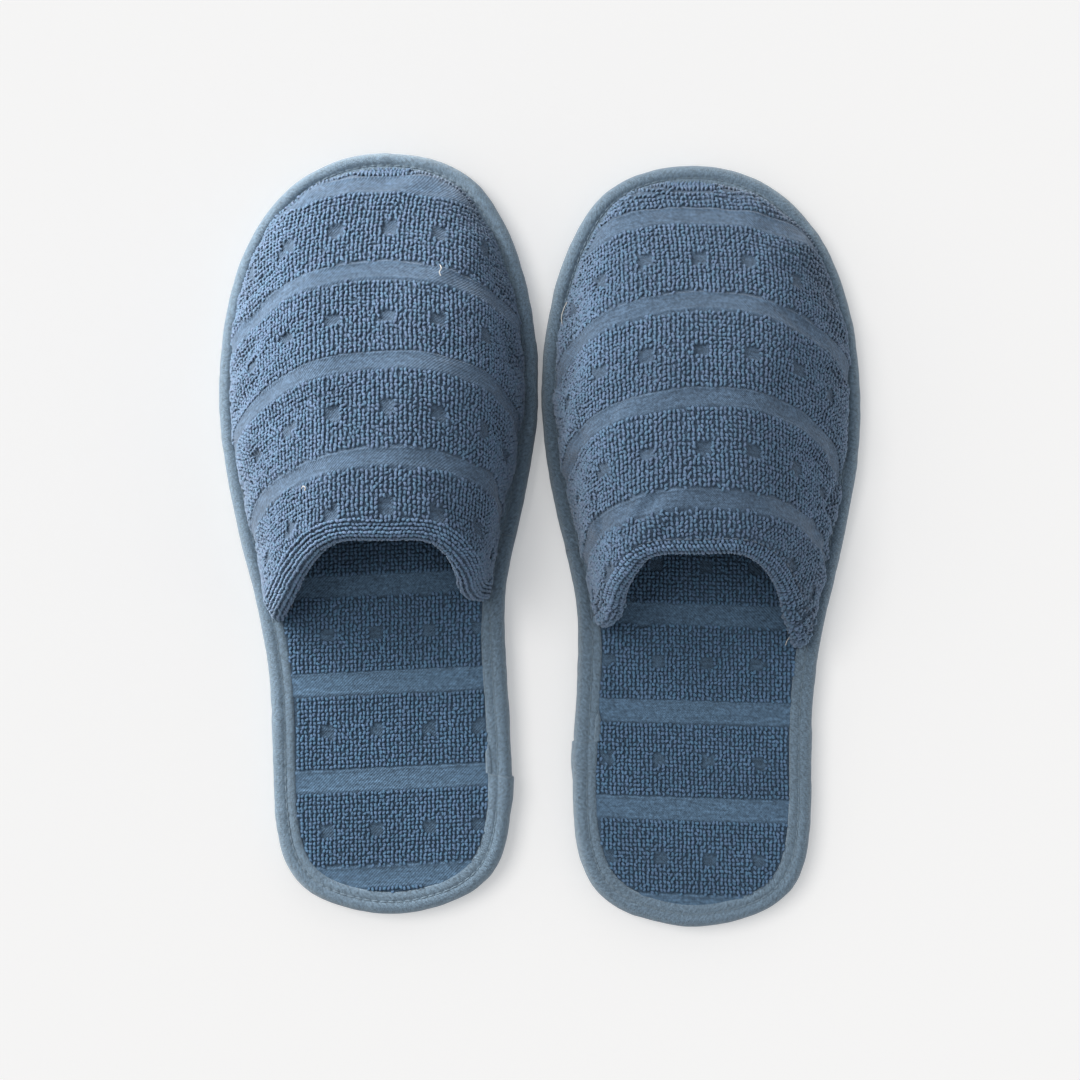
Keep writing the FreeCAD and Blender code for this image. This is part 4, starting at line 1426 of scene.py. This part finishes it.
def hem_pile(side, cloth, rng):
    """Loops in rows parallel to the edge: outside, over the roll and on the flap."""
    P, N, T = [], [], []

    def row_v(k, pitch):
        """v of the loops of row k; every other row is shifted."""
        step = np.arange(0.6 + 0.8 * (k % 2), cloth.hem_arc[-1] - 0.4, pitch)
        return np.interp(step, cloth.hem_arc, cloth.v)

    def add(points, normals, v):
        P.append(points)
        N.append(normals)
        T.append(columns_at(v, cloth.v, cloth.along))

    def roll_frame(v):
        centre, radius, normal, back = [
            columns_at(v, cloth.v, a)
            for a in (cloth.centre, cloth.radius, cloth.normal, cloth.back)]
        return centre, radius, unit(normal), unit(back)

    outer_rows = np.arange(0, side.hem_width + 0.3 - ROLL_START, HEM_ROW_PITCH)
    for k, distance in enumerate(outer_rows):
        v = row_v(k, HEM_LOOP_PITCH)
        v = v + rng.normal(0, 0.0008, len(v))
        tau = walk_to(side, cloth, v, ROLL_START + distance, steps=6)
        points, normal, _ = GROUND.frame(np.clip(tau, 0, 1), v)
        out = stand_off(side, points, v, way_share(cloth, tau, v))
        add(points + normal * out[:, None], normal, v)
    roll_rows = int(round(math.pi * (HEM_RADIUS + HEM_SWELL) / HEM_ROW_PITCH))
    for k in range(1, roll_rows + 1):
        a = math.pi * k / roll_rows
        v = row_v(k, HEM_LOOP_PITCH)
        v = v + rng.normal(0, 0.0008, len(v))
        centre, radius, normal, back = roll_frame(v)
        normal = normal * math.cos(a) + back * math.sin(a)
        add(centre + radius * normal, normal, v)
    for k in range(1, 6):
        v = row_v(k, 1.75)
        centre, radius, normal, back = roll_frame(v)
        add(centre - radius * normal - back * (k * HEM_ROW_PITCH), -normal, v)
    P, N, T = np.concatenate(P), np.concatenate(N), unit(np.concatenate(T))
    kept = P[:, 2] > BASE_Z + 0.6
    P, N, T = P[kept], N[kept], T[kept]
    # gathers: short clefts without loops that run in from the edge; the loops left near them get
    # painted shade
    distance, along = nearest_hem(side, P)
    cleft_and_shade = np.zeros(len(P))
    for gap, depth, reach in crease_gaps(side, distance, along):
        near = bell(gap, 0.75) * (distance < reach * 0.75)
        cleft_and_shade = np.maximum(cleft_and_shade, near * min(depth, 1.0))
    kept = cleft_and_shade < 0.55
    P, N, T, cleft_and_shade = P[kept], N[kept], T[kept], cleft_and_shade[kept]
    m = len(P)
    yaw = rng.normal(side.hem_yaw, 0.34, m) + 0.5 * noise3(P, 8.0, side.seed + 65)
    lean = rng.normal(0, 0.20, m) + 0.3 * noise3(P, 7.0, side.seed + 66)
    # bright: random tone, lowered near the clefts as painted shade
    pile(side.name + "_hem_pile", side, P, N, T, "terry_upper", HEM_PILE_PAINTED_LIGHT, rng,
         half_width=0.64, height=1.00, radius=0.48, yaw=yaw, lean=lean,
         bright=0.2 * noise3(P, 12.0, side.seed + 63) - 0.9 * cleft_and_shade)


def hem_stitches(side, cloth):
    """Stitches that hold the hem, sunk between two rows of loops."""
    step = np.arange(2.0, cloth.hem_arc[-1] - 2.0, 3.2)
    v = np.interp(step, cloth.hem_arc, cloth.v)
    tau = walk_to(side, cloth, v, side.hem_width + 0.1, steps=8)
    P, N, _ = GROUND.frame(tau, v)
    P = P + N * stand_off(side, P, v)[:, None]
    T = columns_at(v, cloth.v, cloth.along)
    kept = P[:, 2] > BASE_Z + 1.0
    stitches(side.name + "_hem_stitches", side, P[kept], T[kept], N[kept], length=2.3,
             radius=0.24, material=HEM_THREAD, replaces=(side.name + "_hem_thread",))


def inner_sheet(name, side, depth_out, depth_in, hem_gap, slot, material, replaces):
    """A closed thin sheet between two depths, ending a gap before the hem."""
    rows, columns = 90, 90
    v = np.linspace(0, 1, columns)
    hem = np.interp(v, HEM_V, side.hem.tau)
    share = np.linspace(0, 1, rows)[:, None]
    faces, taus = [], []
    for depth in (depth_out, depth_in):
        dome = Dome(depth)
        tau = share * (np.maximum(dome.throat_tau(v), hem) - TAU_PER_MM * hem_gap)[None]
        taus.append(tau)
        faces.append(dome.at(tau, v[None]))
    # outside rows from toe to hem, then inside rows from hem to toe
    V = np.concatenate([faces[0], faces[1][::-1]])
    arc = np.concatenate([arc_at(taus[0], v[None] + 0 * taus[0])] * 2)
    build(name, V, *grid_faces(len(V), columns, wrap_rows=True), side, slot, material,
          attrs={"cloth": np.stack([arc, V[..., 1], np.ones_like(arc)], -1)},
          replaces=replaces)


def upper(side):
    n = side.name
    rng = np.random.default_rng(side.seed + 60)
    cloth = upper_cloth(side)
    upper_pile(side, cloth, rng)
    toe_comb(side, cloth, rng)
    hem_pile(side, cloth, rng)
    hem_stitches(side, cloth)
    inner_sheet(n + "_padding_sheet", side, 3.05, 4.35, 6.2, "padding_foam", PADDING,
                (n + "_upper_padding",))
    inner_sheet(n + "_lining_sheet", side, 4.75, 5.35, 5.0, "lining_cloth", LINING,
                (n + "_upper_lining",))


def loose_thread(name, side, ends):
    """A short end of thread lying on the cloth."""
    points = np.array(ends, float)
    ground = GROUND_GRID.reshape(-1, 3)
    for p in points:
        top = ground[((ground[:, :2] - p[:2]) ** 2).sum(1).argmin()][2]
        # behind y = -29 it hangs low, beside the wing
        limit = 13.2 + 0.5 * p[2] if p[1] < -29 else 99.0
        p[2] = min(top + p[2] + 0.9, limit)
    rings, around, radius = 22, 6, 0.17
    q = np.linspace(0, len(points) - 1, rings)
    centre = blur(columns_at(q, np.arange(len(points)), points), (1, 0), 2)
    way = unit(np.gradient(centre, axis=0))
    beside = unit(np.cross(way, np.array([0.13, 0.2, 0.97])))
    up = np.cross(beside, way)
    turn = np.linspace(0, TAU, around, endpoint=False)[None, :, None]
    from_end = np.minimum(np.arange(rings), np.arange(rings)[::-1])
    r = radius * np.minimum(1, 0.35 + from_end * 0.4)
    V = centre[:, None] + r[:, None, None] * (beside[:, None] * np.cos(turn)
                                             + up[:, None] * np.sin(turn))
    build(name, V, *grid_faces(rings, around, wrap_columns=True), side, "sewing_thread",
          THREAD_END)


for side in SIDES:
    soles(side)
    insole(side)
    binding(side)
    set_hem(side)
    simulate(side)
    upper(side)
    for k, ends in enumerate(side.thread_ends):
        loose_thread("%s_loose_thread_%d" % (side.name, k + 1), side, ends)


# =====================================================================
# floor, light, camera (metres)
# =====================================================================
def floor():
    half = 6.0
    mesh = bpy.data.meshes.new("floor")
    mesh.from_pydata([(-half, -half, 0), (half, -half, 0), (half, half, 0), (-half, half, 0)],
                     [], [(0, 1, 2, 3)])
    ob = bpy.data.objects.new("floor", mesh)
    bpy.context.scene.collection.objects.link(ob)
    # part of its light is its own, so that shadows stay soft
    n = Shader("floor_white")
    n.finish((0.94, 0.9236, 0.9095, 1.0), 0.95, specular=0.0)
    n.bsdf.inputs["Emission Color"].default_value = (1, 1, 1, 1)
    n.bsdf.inputs["Emission Strength"].default_value = 0.214
    mesh.materials.append(n.material)
    ob.location.z = -0.0004                 # just clear of the soles


def add_light(name, kind, direction, energy, colour, location=(0, 0, 0), **shape):
    light = bpy.data.lights.new(name, kind)
    for key, value in shape.items():
        setattr(light, key, value)
    light.energy = energy
    light.color = colour
    ob = bpy.data.objects.new(name, light)
    ob.location = location
    ob.rotation_mode = "QUATERNION"
    ob.rotation_quaternion = Vector(direction).to_track_quat("-Z", "Y")
    bpy.context.scene.collection.objects.link(ob)
    return ob


def disk(name, location, target, size, energy, colour):
    return add_light(name, "AREA", Vector(target) - Vector(location), energy, colour,
                     location, shape="DISK", size=size)


def light_only(name, lights, objects):
    """Let lights fall on these objects alone."""
    group = bpy.data.collections.new(name)
    for ob in objects:
        group.objects.link(ob)
    for light in lights:
        light.light_linking.receiver_collection = group


def lights():
    window = (1.0, 0.985, 0.965)
    key = disk("key", (-0.68, 0.56, 0.33), (-0.02, 0.0, 0.02), size=0.72, energy=13.6,
               colour=window)
    key_near = disk("key_near", (-0.70, 0.54, 0.31), (-0.05, 0.0, 0.02), size=0.60,
                    energy=6.6, colour=window)
    add_light("soft_sun", "SUN", (0.46, -0.25, -0.86), energy=1.00, colour=(1.0, 0.99, 0.975),
              angle=math.radians(32))
    fill = disk("fill", (0.70, -0.10, 0.45), (0.05, 0.0, 0.02), size=0.90, energy=1.0,
                colour=(1.0, 0.995, 0.985))
    # key and fill leave the floor alone; the near key lights the left slipper only
    pieces = [ob for ob in bpy.context.scene.objects
              if ob.type == "MESH" and ob.name != "floor"]
    light_only("lit_by_key", (key, fill), pieces)
    light_only("lit_by_key_near", (key_near,),
               [ob for ob in pieces if ob.name.startswith("left")])


def studio():
    """Cool light from all round; the camera sees a plain light grey."""
    world_data = bpy.data.worlds.new("studio")
    world_data.use_nodes = True
    tree = world_data.node_tree
    ambient = tree.nodes["Background"]
    ambient.inputs[0].default_value = (0.95, 0.975, 1.0, 1)
    ambient.inputs[1].default_value = 0.50
    seen = tree.nodes.new("ShaderNodeBackground")
    seen.inputs[0].default_value = (0.905, 0.905, 0.905, 1)
    path = tree.nodes.new("ShaderNodeLightPath")
    mix = tree.nodes.new("ShaderNodeMixShader")
    tree.links.new(path.outputs["Is Camera Ray"], mix.inputs[0])
    tree.links.new(ambient.outputs[0], mix.inputs[1])
    tree.links.new(seen.outputs[0], mix.inputs[2])
    tree.links.new(mix.outputs[0], tree.nodes["World Output"].inputs[0])
    bpy.context.scene.world = world_data


def camera():
    """Looks straight down and takes in a half view at a plane above the floor."""
    height, plane, half_view = 0.750, 0.008, 0.19872
    data = bpy.data.cameras.new("camera")
    data.sensor_width = 36.0
    data.lens = 18.0 / (half_view / (height - plane))     # 18 is half the sensor
    data.clip_start, data.clip_end = 0.01, 50
    ob = bpy.data.objects.new("camera", data)
    ob.location = (0, 0, height)
    bpy.context.scene.collection.objects.link(ob)
    bpy.context.scene.camera = ob
    bpy.context.scene.view_settings.view_transform = "Standard"
    bpy.context.scene.view_settings.look = "None"


floor()
lights()
studio()
camera()
